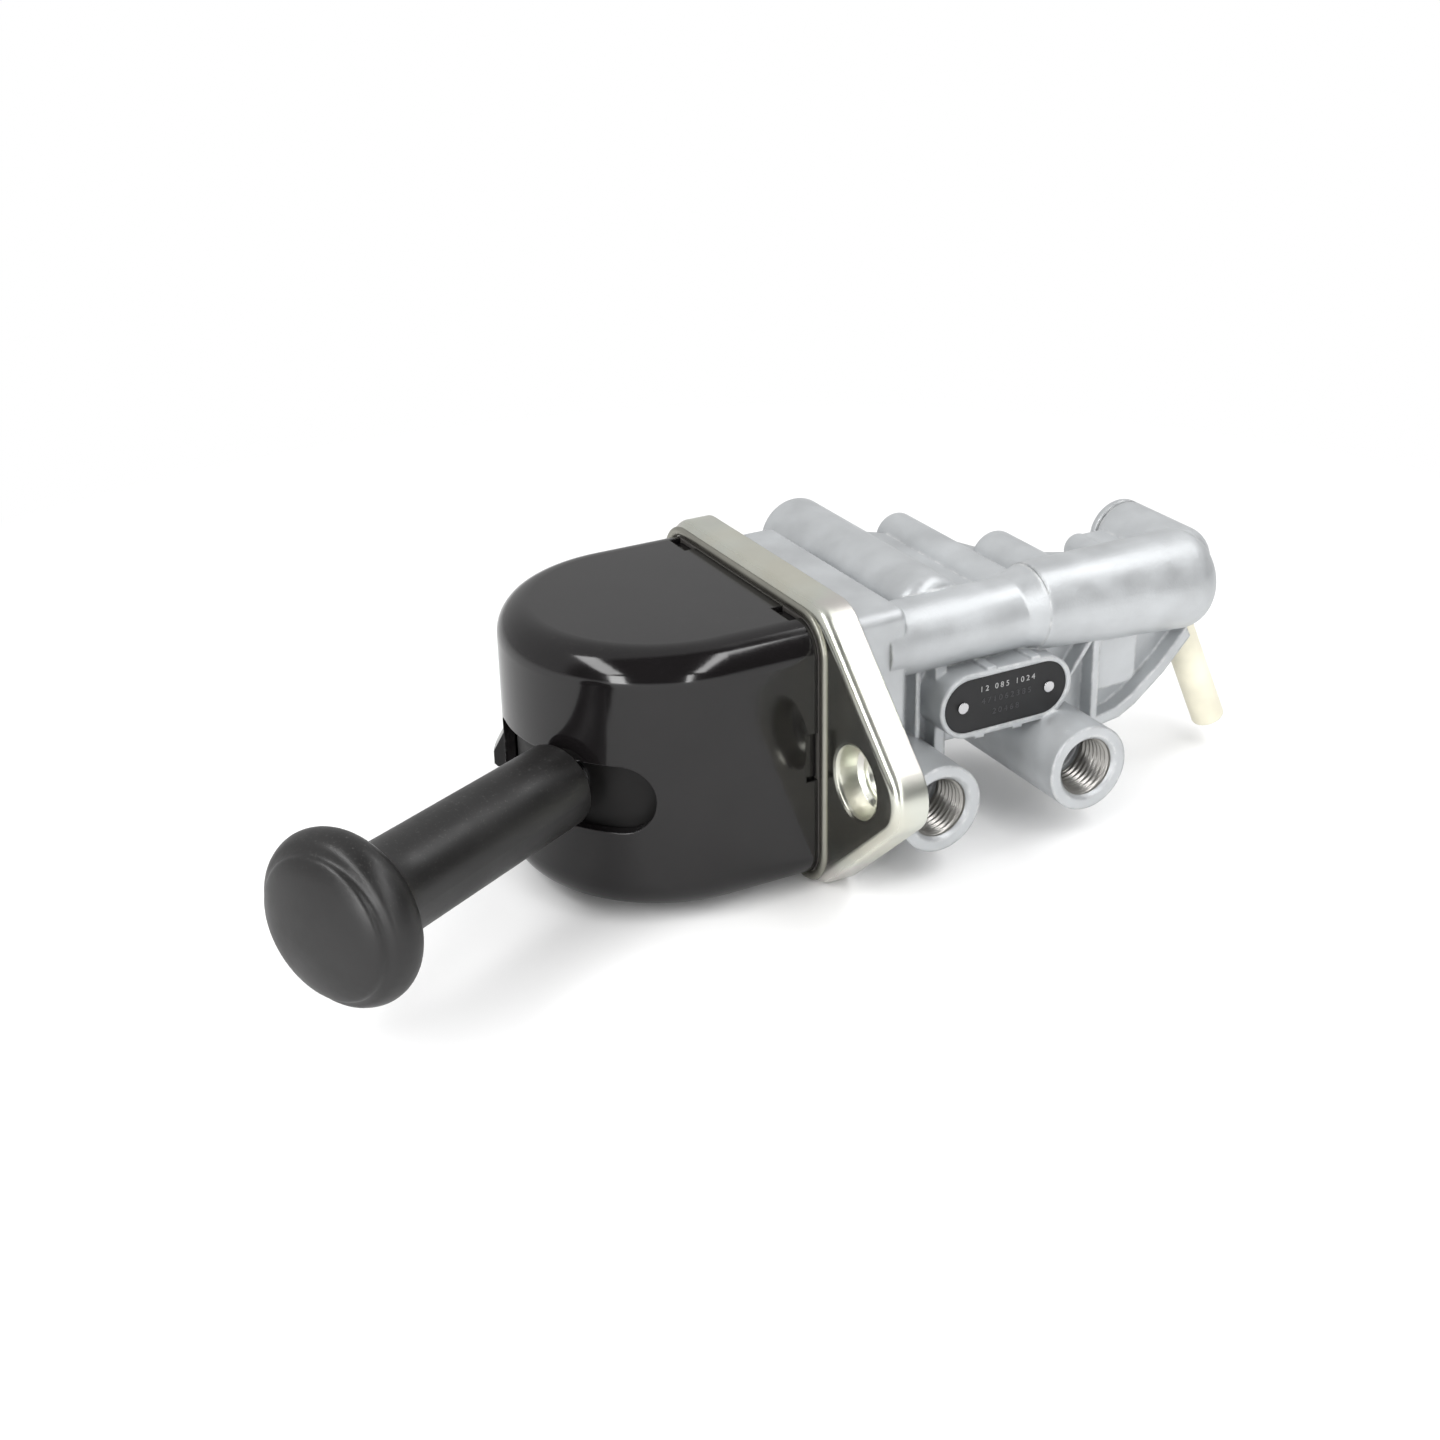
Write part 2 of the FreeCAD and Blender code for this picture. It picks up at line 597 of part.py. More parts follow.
def cover():
    rim = -COVER_GASKET_THICKNESS
    shell = cover_prism(rim, 0).cut(cover_prism(rim + OVERRUN, COVER_WALL))
    shell = shell.fuse(end_pad())
    shell = shell.cut(slot_tool())
    for notch in snap_notches(rim):
        shell = shell.cut(notch)
    for piece in snap_tab_boxes(0) + snap_barbs():
        shell = shell.fuse(piece)
    return shell.removeSplitter()


def cover_gasket():
    outer = cover_prism(OVERRUN / 2, 0)
    inner = cover_prism(OVERRUN, COVER_WALL)
    reach = COVER_HALF_WIDTH + COVER_HALF_HEIGHT
    slab = block(-COVER_GASKET_THICKNESS, 0, -reach, reach, -reach, reach)
    ring = outer.cut(inner).common(slab)
    for tab in snap_tab_boxes(RUNNING_FIT):
        ring = ring.cut(tab)
    return ring


def slot_shutter():
    outer = COVER_HALF_WIDTH - COVER_WALL - SHUTTER_GAP
    inner = outer - SHUTTER_THICKNESS
    strip = wedge(LEVER_REST_ANGLE - SHUTTER_HALF_ANGLE, LEVER_REST_ANGLE + SHUTTER_HALF_ANGLE,
                  outer, SHUTTER_BOTTOM, SHUTTER_TOP)
    core = along_z(inner, SHUTTER_BOTTOM - 1, SHUTTER_TOP + 1, HINGE_X, 0)
    shape = strip.cut(core)
    stub = lever_cylinder(SHUTTER_STUB_RADIUS, HUB_SOCKET_END, inner + 1)
    drum = along_z(inner + SHUTTER_THICKNESS / 2, SHUTTER_BOTTOM, SHUTTER_TOP, HINGE_X, 0)
    shape = shape.fuse(stub.common(drum))
    return shape.cut(lever_cylinder(ROD_RADIUS, HUB_SOCKET_END - 1, outer + 5)).removeSplitter()


def cam_profile():
    """Flat follower cam: support distance falls evenly with the profile angle, so the follower
    moves the same amount for every degree of the lever and touches at one side offset."""
    first = -math.radians(LEVER_TRAVEL_NEAR + CAM_MARGIN)
    last = -math.radians(LEVER_TRAVEL_FAR - CAM_MARGIN)
    steps = 16
    points = []
    for i in range(steps + 1):
        a = first + (last - first) * i / steps
        reach = CAM_REST_REACH - CAM_LIFT_PER_RADIAN * a
        x = reach * math.cos(a) + CAM_LIFT_PER_RADIAN * math.sin(a)
        y = reach * math.sin(a) - CAM_LIFT_PER_RADIAN * math.cos(a)
        points.append(V(HINGE_X + x, y, CAM_BOTTOM))
    curve = Part.BSplineCurve()
    curve.interpolate(points)
    centre = V(HINGE_X - 1, 0, CAM_BOTTOM)
    edges = [curve.toShape(), Part.makeLine(points[-1], centre), Part.makeLine(centre, points[0])]
    return Part.Face(Part.Wire(Part.__sortEdges__(edges))).extrude(V(0, 0, CAM_TOP - CAM_BOTTOM))


def lever_hub():
    hub = along_z(HUB_RADIUS, -HUB_HALF_HEIGHT, HUB_HALF_HEIGHT, HINGE_X, 0)
    hub = hub.fuse(lever_cylinder(HUB_SOCKET_RADIUS, 0, HUB_SOCKET_END))
    hub = hub.fuse(cam_profile())
    pin_reach = HUB_HALF_HEIGHT + 1
    hub = hub.cut(along_z(HINGE_PIN_RADIUS + CLEARANCE, -pin_reach, pin_reach, HINGE_X, 0))
    for side in (-1, 1):
        z0 = side * (HUB_HALF_HEIGHT - BUSH_LENGTH)
        z1 = side * (HUB_HALF_HEIGHT + 1)
        hub = hub.cut(along_z(BUSH_RADIUS, min(z0, z1), max(z0, z1), HINGE_X, 0))
    hub = hub.cut(lever_cylinder(ROD_RADIUS, ROD_START, HUB_SOCKET_END + 5))
    return hub.removeSplitter()


def hinge_bushes():
    pair = []
    for side in (-1, 1):
        z0 = side * (HUB_HALF_HEIGHT - BUSH_LENGTH)
        z1 = side * HUB_HALF_HEIGHT
        bush = along_z(BUSH_RADIUS, min(z0, z1), max(z0, z1), HINGE_X, 0)
        flange_end = side * (BRACKET_CHEEK_BOTTOM - CLEARANCE)
        flange = along_z(BUSH_RADIUS + 1, min(z1, flange_end), max(z1, flange_end), HINGE_X, 0)
        bush = bush.fuse(flange)
        reach = BRACKET_HALF_HEIGHT
        bore = along_z(HINGE_PIN_RADIUS + RUNNING_FIT, -reach, reach, HINGE_X, 0)
        pair.append(bush.cut(bore))
    return Part.makeCompound(pair)


def hinge_pin():
    end = BRACKET_HALF_HEIGHT + HINGE_PIN_HEAD
    return along_z(HINGE_PIN_RADIUS, -end, end, HINGE_X, 0)


def hinge_bracket():
    back = -BRACKET_SHEET
    base = block(back, 0, BRACKET_MID_Y, BRACKET_FAR_Y, -BRACKET_HALF_HEIGHT, BRACKET_HALF_HEIGHT)
    base = base.fuse(block(back, 0, BRACKET_NEAR_Y, BRACKET_MID_Y, -BRACKET_HALF_HEIGHT, BRACKET_STEP_Z))
    for side in (-1, 1):
        z0 = side * BRACKET_CHEEK_BOTTOM
        z1 = side * BRACKET_HALF_HEIGHT
        low = min(z0, z1)
        high = max(z0, z1)
        cheek = block(HINGE_X, 0, -BRACKET_CHEEK_HALF_WIDTH, BRACKET_CHEEK_HALF_WIDTH, low, high)
        cheek = cheek.fuse(along_z(BRACKET_CHEEK_HALF_WIDTH, low, high, HINGE_X, 0))
        base = base.fuse(cheek)
    reach = BRACKET_HALF_HEIGHT + OVERRUN
    base = base.cut(along_z(HINGE_PIN_RADIUS, -reach, reach, HINGE_X, 0))
    for y, z in SCREW_POSITIONS:
        base = base.cut(along_x(SCREW_RADIUS, -OVERRUN, OVERRUN, y, z))
    return base.removeSplitter()


def coil(radius, wire, length, turns, start, direction):
    """Round wire wound as a helix whose wire surface fits inside the given length."""
    pitch = (length - 2 * wire) / turns
    helix = Part.makeHelix(pitch, pitch * turns, radius)
    section = Part.Wire(Part.makeCircle(wire, V(radius, 0, 0), Y_AXIS))
    solid = Part.Wire(helix.Edges).makePipeShell([section], True, True)
    solid.translate(V(0, 0, wire))
    turn = FreeCAD.Rotation(Z_AXIS, V(*direction))
    solid.Placement = FreeCAD.Placement(V(*start), turn).multiply(solid.Placement)
    return solid


def return_spring():
    height = SPRING_COIL_PITCH * SPRING_COIL_TURNS + 2 * SPRING_COIL_WIRE
    winding = coil(SPRING_COIL_RADIUS, SPRING_COIL_WIRE, height, SPRING_COIL_TURNS,
                   (HINGE_X, 0, SPRING_COIL_BOTTOM), (0, 0, 1))
    z = SPRING_COIL_BOTTOM + SPRING_COIL_WIRE
    leg = cylinder(SPRING_COIL_WIRE, (HINGE_X + SPRING_COIL_RADIUS, 0, z),
                   (-BRACKET_SHEET, 0, z))
    return winding.fuse(leg)


def lever_rod():
    rod = lever_cylinder(ROD_RADIUS, ROD_START, ROD_END - ROD_COLLAR_LENGTH)
    return rod.fuse(lever_cylinder(ROD_RADIUS - ROD_COLLAR_STEP, ROD_START, ROD_END)).removeSplitter()


def rod_collar():
    ring = lever_cylinder(ROD_COLLAR_RADIUS, ROD_END - ROD_COLLAR_LENGTH, ROD_END)
    hole = lever_cylinder(ROD_RADIUS - ROD_COLLAR_STEP, ROD_END - ROD_COLLAR_LENGTH - 1, ROD_END + 1)
    return ring.cut(hole)


def grip_profile():
    """Half section of the sleeve and knob as (distance along the lever, radius)."""
    neck = KNOB_RADIUS - KNOB_RIM_ROUND
    profile = [(GRIP_START, 0), (GRIP_START, GRIP_START_RADIUS - GRIP_EDGE),
               (GRIP_START + GRIP_EDGE, GRIP_START_RADIUS), (KNOB_NECK_START, GRIP_RADIUS)]
    back = KNOB_RIM_CENTRE - KNOB_RIM_ROUND
    for i in range(1, KNOB_STEP_COUNT + 1):
        a = math.pi / 2 * i / KNOB_STEP_COUNT
        along = KNOB_NECK_START + (back - KNOB_NECK_START) * math.sin(a)
        radius = GRIP_RADIUS + (neck - GRIP_RADIUS) * (1 - math.cos(a))
        profile.append((along, radius))
    for i in range(1, KNOB_STEP_COUNT + 1):
        a = math.radians(-90 + (90 + KNOB_FACE_START) * i / KNOB_STEP_COUNT)
        profile.append((KNOB_RIM_CENTRE + KNOB_RIM_ROUND * math.sin(a), neck + KNOB_RIM_ROUND * math.cos(a)))
    last_along, last_radius = profile[-1]
    for i in range(1, KNOB_STEP_COUNT):
        a = math.pi / 2 * i / KNOB_STEP_COUNT
        along = last_along + (KNOB_APEX - last_along) * math.sin(a)
        profile.append((along, last_radius * math.cos(a)))
    profile.append((KNOB_APEX, 0))
    return profile


def grip():
    profile = grip_profile()
    points = []
    for along, radius in profile:
        points.append(V(*on_lever(along, radius)))
    straight = []
    for i in range(3):
        straight.append(Part.makeLine(points[i], points[i + 1]))
    curve = Part.BSplineCurve()
    curve.interpolate(points[3:])
    edges = straight + [curve.toShape(), Part.makeLine(points[-1], points[0])]
    face = Part.Face(Part.Wire(edges))
    solid = face.revolve(LEVER_ORIGIN, LEVER_DIRECTION, 360)
    return solid.cut(lever_cylinder(GRIP_BORE, GRIP_START - OVERRUN, GRIP_BORE_END))


def grip_guide():
    ring = lever_cylinder(GRIP_BORE, GRIP_START, GRIP_START + GRIP_GUIDE_LENGTH)
    hole = lever_cylinder(ROD_RADIUS + RUNNING_FIT, GRIP_START - 1, GRIP_START + GRIP_GUIDE_LENGTH + 1)
    return ring.cut(hole)


def grip_spring():
    start = GRIP_START + GRIP_GUIDE_LENGTH + GRIP_TRAVEL + CLEARANCE
    end = ROD_END - ROD_COLLAR_LENGTH
    return coil(GRIP_SPRING_RADIUS, GRIP_SPRING_WIRE, end - start, GRIP_SPRING_TURNS,
                on_lever(start), (LEVER_DIRECTION.x, LEVER_DIRECTION.y, 0))


def body_outline(x0, x1):
    solid = block(x0, x1, BLOCK_NEAR, BLOCK_FAR, BLOCK_BOTTOM, BLOCK_TOP)
    lengthwise = []
    for edge in solid.Edges:
        if abs(edge.BoundBox.XMax - edge.BoundBox.XMin - (x1 - x0)) < 1e-6:
            lengthwise.append(edge)
    return solid.makeFillet(BLOCK_ROUND + 1, lengthwise)


def body_gasket():
    sheet = body_outline(PLATE_SHEET, PLATE_SHEET + GASKET_THICKNESS)
    for y, z in SCREW_POSITIONS:
        sheet = sheet.cut(along_x(SCREW_RADIUS, 0, OVERRUN, y, z))
    return sheet.cut(along_x(MAIN_BORE, 0, OVERRUN, MAIN_Y, MAIN_Z))


def plate_screws():
    screws = []
    for y, z in SCREW_POSITIONS:
        head_base = -BRACKET_SHEET
        head = along_x(SCREW_HEAD_RADIUS, head_base - SCREW_HEAD_HEIGHT, head_base, y, z)
        shank = along_x(SCREW_RADIUS, head_base, head_base + SCREW_LENGTH, y, z)
        socket = along_x(SCREW_SOCKET, head_base - SCREW_HEAD_HEIGHT - 1, head_base - 1, y, z)
        screws.append(head.fuse(shank).cut(socket))
    return Part.makeCompound(screws)


def round_rim_y(solid, y, rounding):
    """Round the edges that lie in the plane across Y at this place."""
    rims = []
    for edge in solid.Edges:
        box = edge.BoundBox
        if abs(box.YMin - y) < 1e-4 and abs(box.YMax - y) < 1e-4:
            rims.append(edge)
    return solid.makeFillet(rounding, rims)


def rounded_end_y(radius, y0, y1, x, z, rounding):
    """Cylinder along Y with its +Y end rounded."""
    return round_rim_y(along_y(radius, y0, y1, x, z), y1, rounding)


def obround(x, z, length, height, y0, y1):
    """Upright plate with round ends, thick along Y."""
    straight = (length - height) / 2
    shape = block(x - straight, x + straight, y0, y1, z - height / 2, z + height / 2)
    for side in (-1, 1):
        shape = shape.fuse(along_y(height / 2, y0, y1, x + side * straight, z))
    return shape.removeSplitter()


def rear_barrel():
    """Rear half of the barrel: level along its top and deeper towards its rounded end."""
    top = MAIN_Z + MAIN_TOP_RISE
    start = V(MAIN_STEP_END, MAIN_Y, top - MAIN_LARGE_RADIUS)
    run = V(MAIN_END, MAIN_Y, top - MAIN_END_RADIUS) - start
    barrel = Part.makeCone(MAIN_LARGE_RADIUS, MAIN_END_RADIUS, run.Length, start, run)
    rims = [edge for edge in barrel.Edges if edge.BoundBox.XMin > MAIN_END - MAIN_END_RADIUS / 2]
    barrel = barrel.makeFillet(MAIN_END_ROUND, rims)
    foot = V(MAIN_STEP_START, MAIN_Y, MAIN_Z)
    rise = start + run * (MAIN_STEP_LAP / run.Length) - foot
    step = Part.makeCone(MAIN_SMALL_RADIUS - MAIN_STEP_EASE, MAIN_LARGE_RADIUS - MAIN_STEP_EASE,
                         rise.Length, foot, rise)
    return barrel.fuse(step)


def web():
    """Upright web under the main barrel with its raised edge and ribs."""
    start = BLOCK_REAR - BLOCK_ROUND
    edge = list(zip(WEB_EDGE_X, WEB_EDGE_DROP))
    corners = [(start, MAIN_Z), (start, MAIN_Z - WEB_EDGE_DROP[0])]
    for x, drop in edge:
        corners.append((x, MAIN_Z - drop))
    corners.append((WEB_EDGE_X[-1] - MAIN_END_ROUND, MAIN_Z))
    sheet = prism([(x, WEB_NEAR, z) for x, z in corners], (0, WEB_FAR - WEB_NEAR, 0))
    slope = [(x, MAIN_Z - drop) for x, drop in edge[1:]]
    inner = []
    for x, z in reversed(slope):
        shift = 0 if x == slope[0][0] else WEB_EDGE_THICKNESS / 2
        inner.append((x - shift, z + WEB_EDGE_THICKNESS))
    rim = prism([(x, RIM_NEAR, z) for x, z in slope + inner], (0, WEB_FAR - RIM_NEAR, 0))
    shape = sheet.fuse(rim)
    top = MAIN_Z - RIB_TOP_DROP
    for x, width, drop in zip(RIB_X, RIB_WIDTH, RIB_DROP):
        shape = shape.fuse(block(x, x + width, RIM_NEAR, WEB_FAR, MAIN_Z - drop, top))
    gusset = [(x, RIM_NEAR, MAIN_Z - drop) for x, drop in zip(GUSSET_X, GUSSET_DROP)]
    shape = shape.fuse(prism(gusset, (0, WEB_FAR - RIM_NEAR, 0)))
    low = MAIN_Z - STEP_PANEL_DROP
    panel = block(STEP_PANEL_START, STEP_PANEL_END, RIM_NEAR + STEP_PANEL_INSET, WEB_FAR, low, top)
    corner = []
    for edge in panel.Edges:
        box = edge.BoundBox
        if box.XMin > STEP_PANEL_END - 1e-4 and box.ZMax < low + 1e-4:
            corner.append(edge)
    return shape.fuse(panel.makeFillet(STEP_PANEL_ROUND, corner))


def shelf():
    """Level web that ties the cross arms to the barrel and the block."""
    start = BLOCK_REAR - BLOCK_ROUND
    end = MAIN_END - SHELF_END_INSET
    outline = [(start, MAIN_Y), (start, BLOCK_FAR - BLOCK_ROUND)]
    for x, reach in zip(SHELF_X, SHELF_REACH):
        outline.append((x, MAIN_Y + reach))
    outline += [(end, REAR_ARM_FAR - REAR_ARM_RADIUS), (end, MAIN_Y)]
    return prism([(x, y, ARM_Z - SHELF_HALF_THICKNESS) for x, y in outline], (0, 0, 2 * SHELF_HALF_THICKNESS))


def rear_lug():
    """Small cast arm beside the rear cross arm, joined to it by a flat."""
    far = MAIN_Y + REAR_LUG_REACH
    near = MAIN_Y + MAIN_BORE
    lug = rounded_end_y(REAR_LUG_RADIUS, near, far, REAR_LUG_X, REAR_ARM_Z, REAR_LUG_ROUND)
    half = REAR_LUG_RADIUS - REAR_LUG_EASE
    flat = block(REAR_LUG_X, REAR_ARM_X, near, far - REAR_LUG_ROUND, REAR_ARM_Z - half, REAR_ARM_Z + half)
    return lug.fuse(flat)


def arms():
    """Each cross arm as (x, far end, radius, bore)."""
    rows = []
    for x, reach, radius, bore in zip(ARM_X, ARM_REACH, ARM_RADIUS, ARM_BORE):
        rows.append((x, MAIN_Y + reach, radius, bore))
    return rows


def port_bosses():
    """Each port boss as (x, inner end)."""
    return [(x, PORT_MOUTH + length) for x, length in zip(PORT_X, PORT_BOSS_LENGTH)]


def tube_axis():
    """Start and run of the exhaust tube as (point, direction, length)."""
    start = V(TUBE_TOP_X, MAIN_Y + TUBE_SHIFT, MAIN_Z - TUBE_TOP_DROP)
    run = V(TUBE_RUN, 0, -TUBE_FALL)
    return start, run * (1 / run.Length), run.Length


def valve_body():
    front = PLATE_SHEET + GASKET_THICKNESS
    body = body_outline(front, BLOCK_REAR)
    body = body.makeFillet(BLOCK_ROUND, edges_at_x(body, BLOCK_REAR))
    small_end = MAIN_STEP_START + 4 * MAIN_STEP_LAP
    body = body.fuse(along_x(MAIN_SMALL_RADIUS, BLOCK_REAR - 5, small_end, MAIN_Y, MAIN_Z))
    body = body.fuse(rear_barrel())
    near = MAIN_Y + ARM_START
    for x, far, radius, bore in arms():
        arm = rounded_end_y(radius, near, far, x, ARM_Z, ARM_END_ROUND)
        body = body.fuse(round_rim_y(arm, near, ARM_START_ROUND))
    cap_start = REAR_ARM_FAR - SIDE_CAP_THICKNESS
    rear_start = MAIN_Y + REAR_ARM_START
    rear_arm = along_y(REAR_ARM_RADIUS, rear_start, cap_start - SIDE_CAP_GROOVE, REAR_ARM_X, REAR_ARM_Z)
    body = body.fuse(round_rim_y(rear_arm, rear_start, MAIN_END_ROUND))
    body = body.fuse(rear_lug())
    body = body.fuse(web())
    body = body.fuse(shelf())
    pad_back = LABEL_FACE + LABEL_THICKNESS
    for x, end in port_bosses():
        body = body.fuse(rounded_end_y(PORT_BOSS_RADIUS, PORT_MOUTH, end, x, PORT_Z, PORT_BOSS_ROUND))
    rim_face = LABEL_FACE - LABEL_RIM_STAND
    body = body.fuse(obround(LABEL_X, LABEL_Z, LABEL_LENGTH + 2 * LABEL_RIM, LABEL_HEIGHT + 2 * LABEL_RIM,
                             rim_face, WEB_FAR))
    for offset, side in LABEL_TABS:
        x = LABEL_X + offset
        z = LABEL_Z + side * (LABEL_HEIGHT / 2 + LABEL_RIM)
        half = LABEL_TAB / 2
        body = body.fuse(block(x - LABEL_TAB, x + LABEL_TAB, rim_face, WEB_FAR, z - half, z + half))
    body = body.cut(obround(LABEL_X, LABEL_Z, LABEL_LENGTH, LABEL_HEIGHT, rim_face - 1, pad_back))
    return bore_out(body)


def bore_out(body):
    body = body.cut(along_x(MAIN_BORE, 0, MAIN_BORE_END, MAIN_Y, MAIN_Z))
    for y, z in SCREW_POSITIONS:
        body = body.cut(along_x(SCREW_RADIUS, 0, SCREW_LENGTH - BRACKET_SHEET + 1, y, z))
    for x, far, radius, bore in arms():
        body = body.cut(along_y(bore, MAIN_Y + MAIN_BORE + 2, far + 1, x, ARM_Z))
    deep = MAIN_Y + MAIN_BORE + 2
    body = body.cut(along_y(SIDE_CAP_SPIGOT, deep, REAR_ARM_FAR + 1, REAR_ARM_X, REAR_ARM_Z))
    for x, end in port_bosses():
        body = body.cut(along_y(PORT_TAP_RADIUS, PORT_MOUTH - 1, PORT_MOUTH + PORT_DEPTH, x, PORT_Z))
        body = body.cut(Part.makeCone(PORT_TAP_RADIUS + PORT_CHAMFER, PORT_TAP_RADIUS, PORT_CHAMFER,
                                      V(x, PORT_MOUTH, PORT_Z), Y_AXIS))
        body = body.cut(along_y(PORT_DRILL, PORT_MOUTH + PORT_DEPTH - 1, end - PORT_DRILL_STOP, x, PORT_Z))
        body = body.cut(along_z(GALLERY_RADIUS, PORT_Z, MAIN_Z, x, MAIN_Y))
    for slot in RIVET_X:
        end = LABEL_FACE + RIVET_SHANK_LENGTH
        body = body.cut(along_y(RIVET_SHANK_RADIUS, LABEL_FACE - 1, end, slot, LABEL_Z))
    start, direction, length = tube_axis()
    body = body.cut(Part.makeCylinder(TUBE_RADIUS, length, start, direction))
    drill_start = start - direction * EXHAUST_DRILL_LENGTH
    body = body.cut(Part.makeCylinder(EXHAUST_DRILL, EXHAUST_DRILL_LENGTH + 1, drill_start, direction))
    return body


def name_plate():
    plate = obround(LABEL_X, LABEL_Z, LABEL_LENGTH, LABEL_HEIGHT, LABEL_FACE, LABEL_FACE + LABEL_THICKNESS)
    for x in RIVET_X:
        plate = plate.cut(along_y(RIVET_SHANK_RADIUS, LABEL_FACE - 1, LABEL_FACE + 2, x, LABEL_Z))
    return plate


def name_plate_rivets():
    rivets = []
    for x in RIVET_X:
        head = along_y(RIVET_HEAD_RADIUS, LABEL_FACE - RIVET_HEAD_HEIGHT, LABEL_FACE, x, LABEL_Z)
        shank = along_y(RIVET_SHANK_RADIUS, LABEL_FACE, LABEL_FACE + RIVET_SHANK_LENGTH, x, LABEL_Z)
        rivets.append(head.fuse(shank))
    return Part.makeCompound(rivets)


def passage_plugs(indices):
    plugs = []
    for i in indices:
        x, far, radius, bore = arms()[i]
        plugs.append(along_y(bore, far - PLUG_DEPTH - PLUG_LENGTH, far - PLUG_DEPTH, x, ARM_Z))
    if len(plugs) == 1:
        return plugs[0]
    return Part.makeCompound(plugs)


def side_cap():
    start = REAR_ARM_FAR - SIDE_CAP_THICKNESS
    cap = rounded_end_y(REAR_ARM_RADIUS, start, REAR_ARM_FAR, REAR_ARM_X, REAR_ARM_Z, 1.0)
    neck = along_y(REAR_ARM_RADIUS - 1, start - SIDE_CAP_GROOVE, start, REAR_ARM_X, REAR_ARM_Z)
    spigot = along_y(SIDE_CAP_SPIGOT, start - SIDE_CAP_SPIGOT_LENGTH, start, REAR_ARM_X, REAR_ARM_Z)
    return cap.fuse(neck).fuse(spigot)


def exhaust_tube():
    start, direction, length = tube_axis()
    tube = Part.makeCylinder(TUBE_RADIUS, length, start, direction)
    return tube.cut(Part.makeCylinder(TUBE_BORE, length + 2, start - direction, direction))


def cam_plunger():
    face = HINGE_X + CAM_REST_REACH + RUNNING_FIT
    back = face + HEAD_THICKNESS
    head = block(face, back, HEAD_NEAR, HEAD_FAR, HEAD_BOTTOM, HEAD_TOP)
    stem = along_x(PLUNGER_RADIUS, back, PLUNGER_SEAT_X, MAIN_Y, MAIN_Z)
    seat_end = PLUNGER_SEAT_X + PLUNGER_SEAT_THICKNESS
    seat = along_x(PLUNGER_SEAT_RADIUS, PLUNGER_SEAT_X, seat_end, MAIN_Y, MAIN_Z)
    return head.fuse(stem).fuse(seat)


def plunger_guide():
    start = PLATE_SHEET
    guide = along_x(MAIN_BORE, start, start + GUIDE_LENGTH, MAIN_Y, MAIN_Z)
    guide = guide.cut(along_x(PLUNGER_RADIUS + RUNNING_FIT, 0, 60, MAIN_Y, MAIN_Z))
    middle = start + GUIDE_LENGTH / 2
    half = SEAL_WIDTH / 2
    return guide.cut(along_x(PLUNGER_RADIUS + SEAL_SECTION, middle - half, middle + half, MAIN_Y, MAIN_Z))


def plunger_seal():
    middle = PLATE_SHEET + GUIDE_LENGTH / 2
    half = SEAL_WIDTH / 2
    ring = along_x(PLUNGER_RADIUS + SEAL_SECTION, middle - half, middle + half, MAIN_Y, MAIN_Z)
    return ring.cut(along_x(PLUNGER_RADIUS + RUNNING_FIT, 0, 60, MAIN_Y, MAIN_Z))


def graduating_spring():
    travel = CAM_LIFT_PER_RADIAN * math.radians(LEVER_TRAVEL_NEAR) * (1 - PISTON_PER_PLUNGER)
    start = PLUNGER_SEAT_X + PLUNGER_SEAT_THICKNESS
    length = PISTON_X - start - travel - RUNNING_FIT
    return coil(SPRING_RADIUS, SPRING_WIRE, length, SPRING_TURNS, (start, MAIN_Y, MAIN_Z), (1, 0, 0))


def seal_positions():
    return (PISTON_X + SEAL_WIDTH, PISTON_X + PISTON_LENGTH - 2 * SEAL_WIDTH)


def reaction_piston():
    radius = MAIN_BORE - RUNNING_FIT
    piston = along_x(radius, PISTON_X, PISTON_X + PISTON_LENGTH, MAIN_Y, MAIN_Z)
    for x in seal_positions():
        groove = along_x(radius + 1, x, x + SEAL_WIDTH, MAIN_Y, MAIN_Z).cut(
            along_x(radius - SEAL_SECTION, x, x + SEAL_WIDTH, MAIN_Y, MAIN_Z))
        piston = piston.cut(groove)
    stem = along_x(PISTON_STEM_RADIUS, PISTON_X + PISTON_LENGTH, PISTON_STEM_END, MAIN_Y, MAIN_Z)
    piston = piston.fuse(stem)
    return piston.cut(along_x(PISTON_STEM_BORE, PISTON_X + PISTON_FACE, PISTON_STEM_END + 1, MAIN_Y, MAIN_Z))


def piston_seals():
    radius = MAIN_BORE - RUNNING_FIT
    rings = []
    for x in seal_positions():
        ring = along_x(radius, x, x + SEAL_WIDTH, MAIN_Y, MAIN_Z)
        rings.append(ring.cut(along_x(radius - SEAL_SECTION, x - 1, x + SEAL_WIDTH + 1, MAIN_Y, MAIN_Z)))
    return Part.makeCompound(rings)


def inlet_seat():
    ring = along_x(MAIN_BORE, SEAT_RING_X, SEAT_RING_X + SEAT_RING_LENGTH, MAIN_Y, MAIN_Z)
    end = SEAT_RING_X + SEAT_RING_LENGTH + 1
    return ring.cut(along_x(SEAT_RING_BORE, SEAT_RING_X - 1, end, MAIN_Y, MAIN_Z))


def valve_disc():
    start = SEAT_RING_X + SEAT_RING_LENGTH + DISC_GAP
    disc = along_x(DISC_RADIUS, start, start + DISC_THICKNESS, MAIN_Y, MAIN_Z)
    return disc.fuse(along_x(DISC_STEM_RADIUS, start, DISC_STEM_END, MAIN_Y, MAIN_Z))


def valve_spring():
    start = SEAT_RING_X + SEAT_RING_LENGTH + DISC_THICKNESS + DISC_TRAVEL + 2 * RUNNING_FIT
    return coil(VALVE_SPRING_RADIUS, SPRING_WIRE, SPRING_SEAT_X - start, SPRING_TURNS,
                (start, MAIN_Y, MAIN_Z), (1, 0, 0))


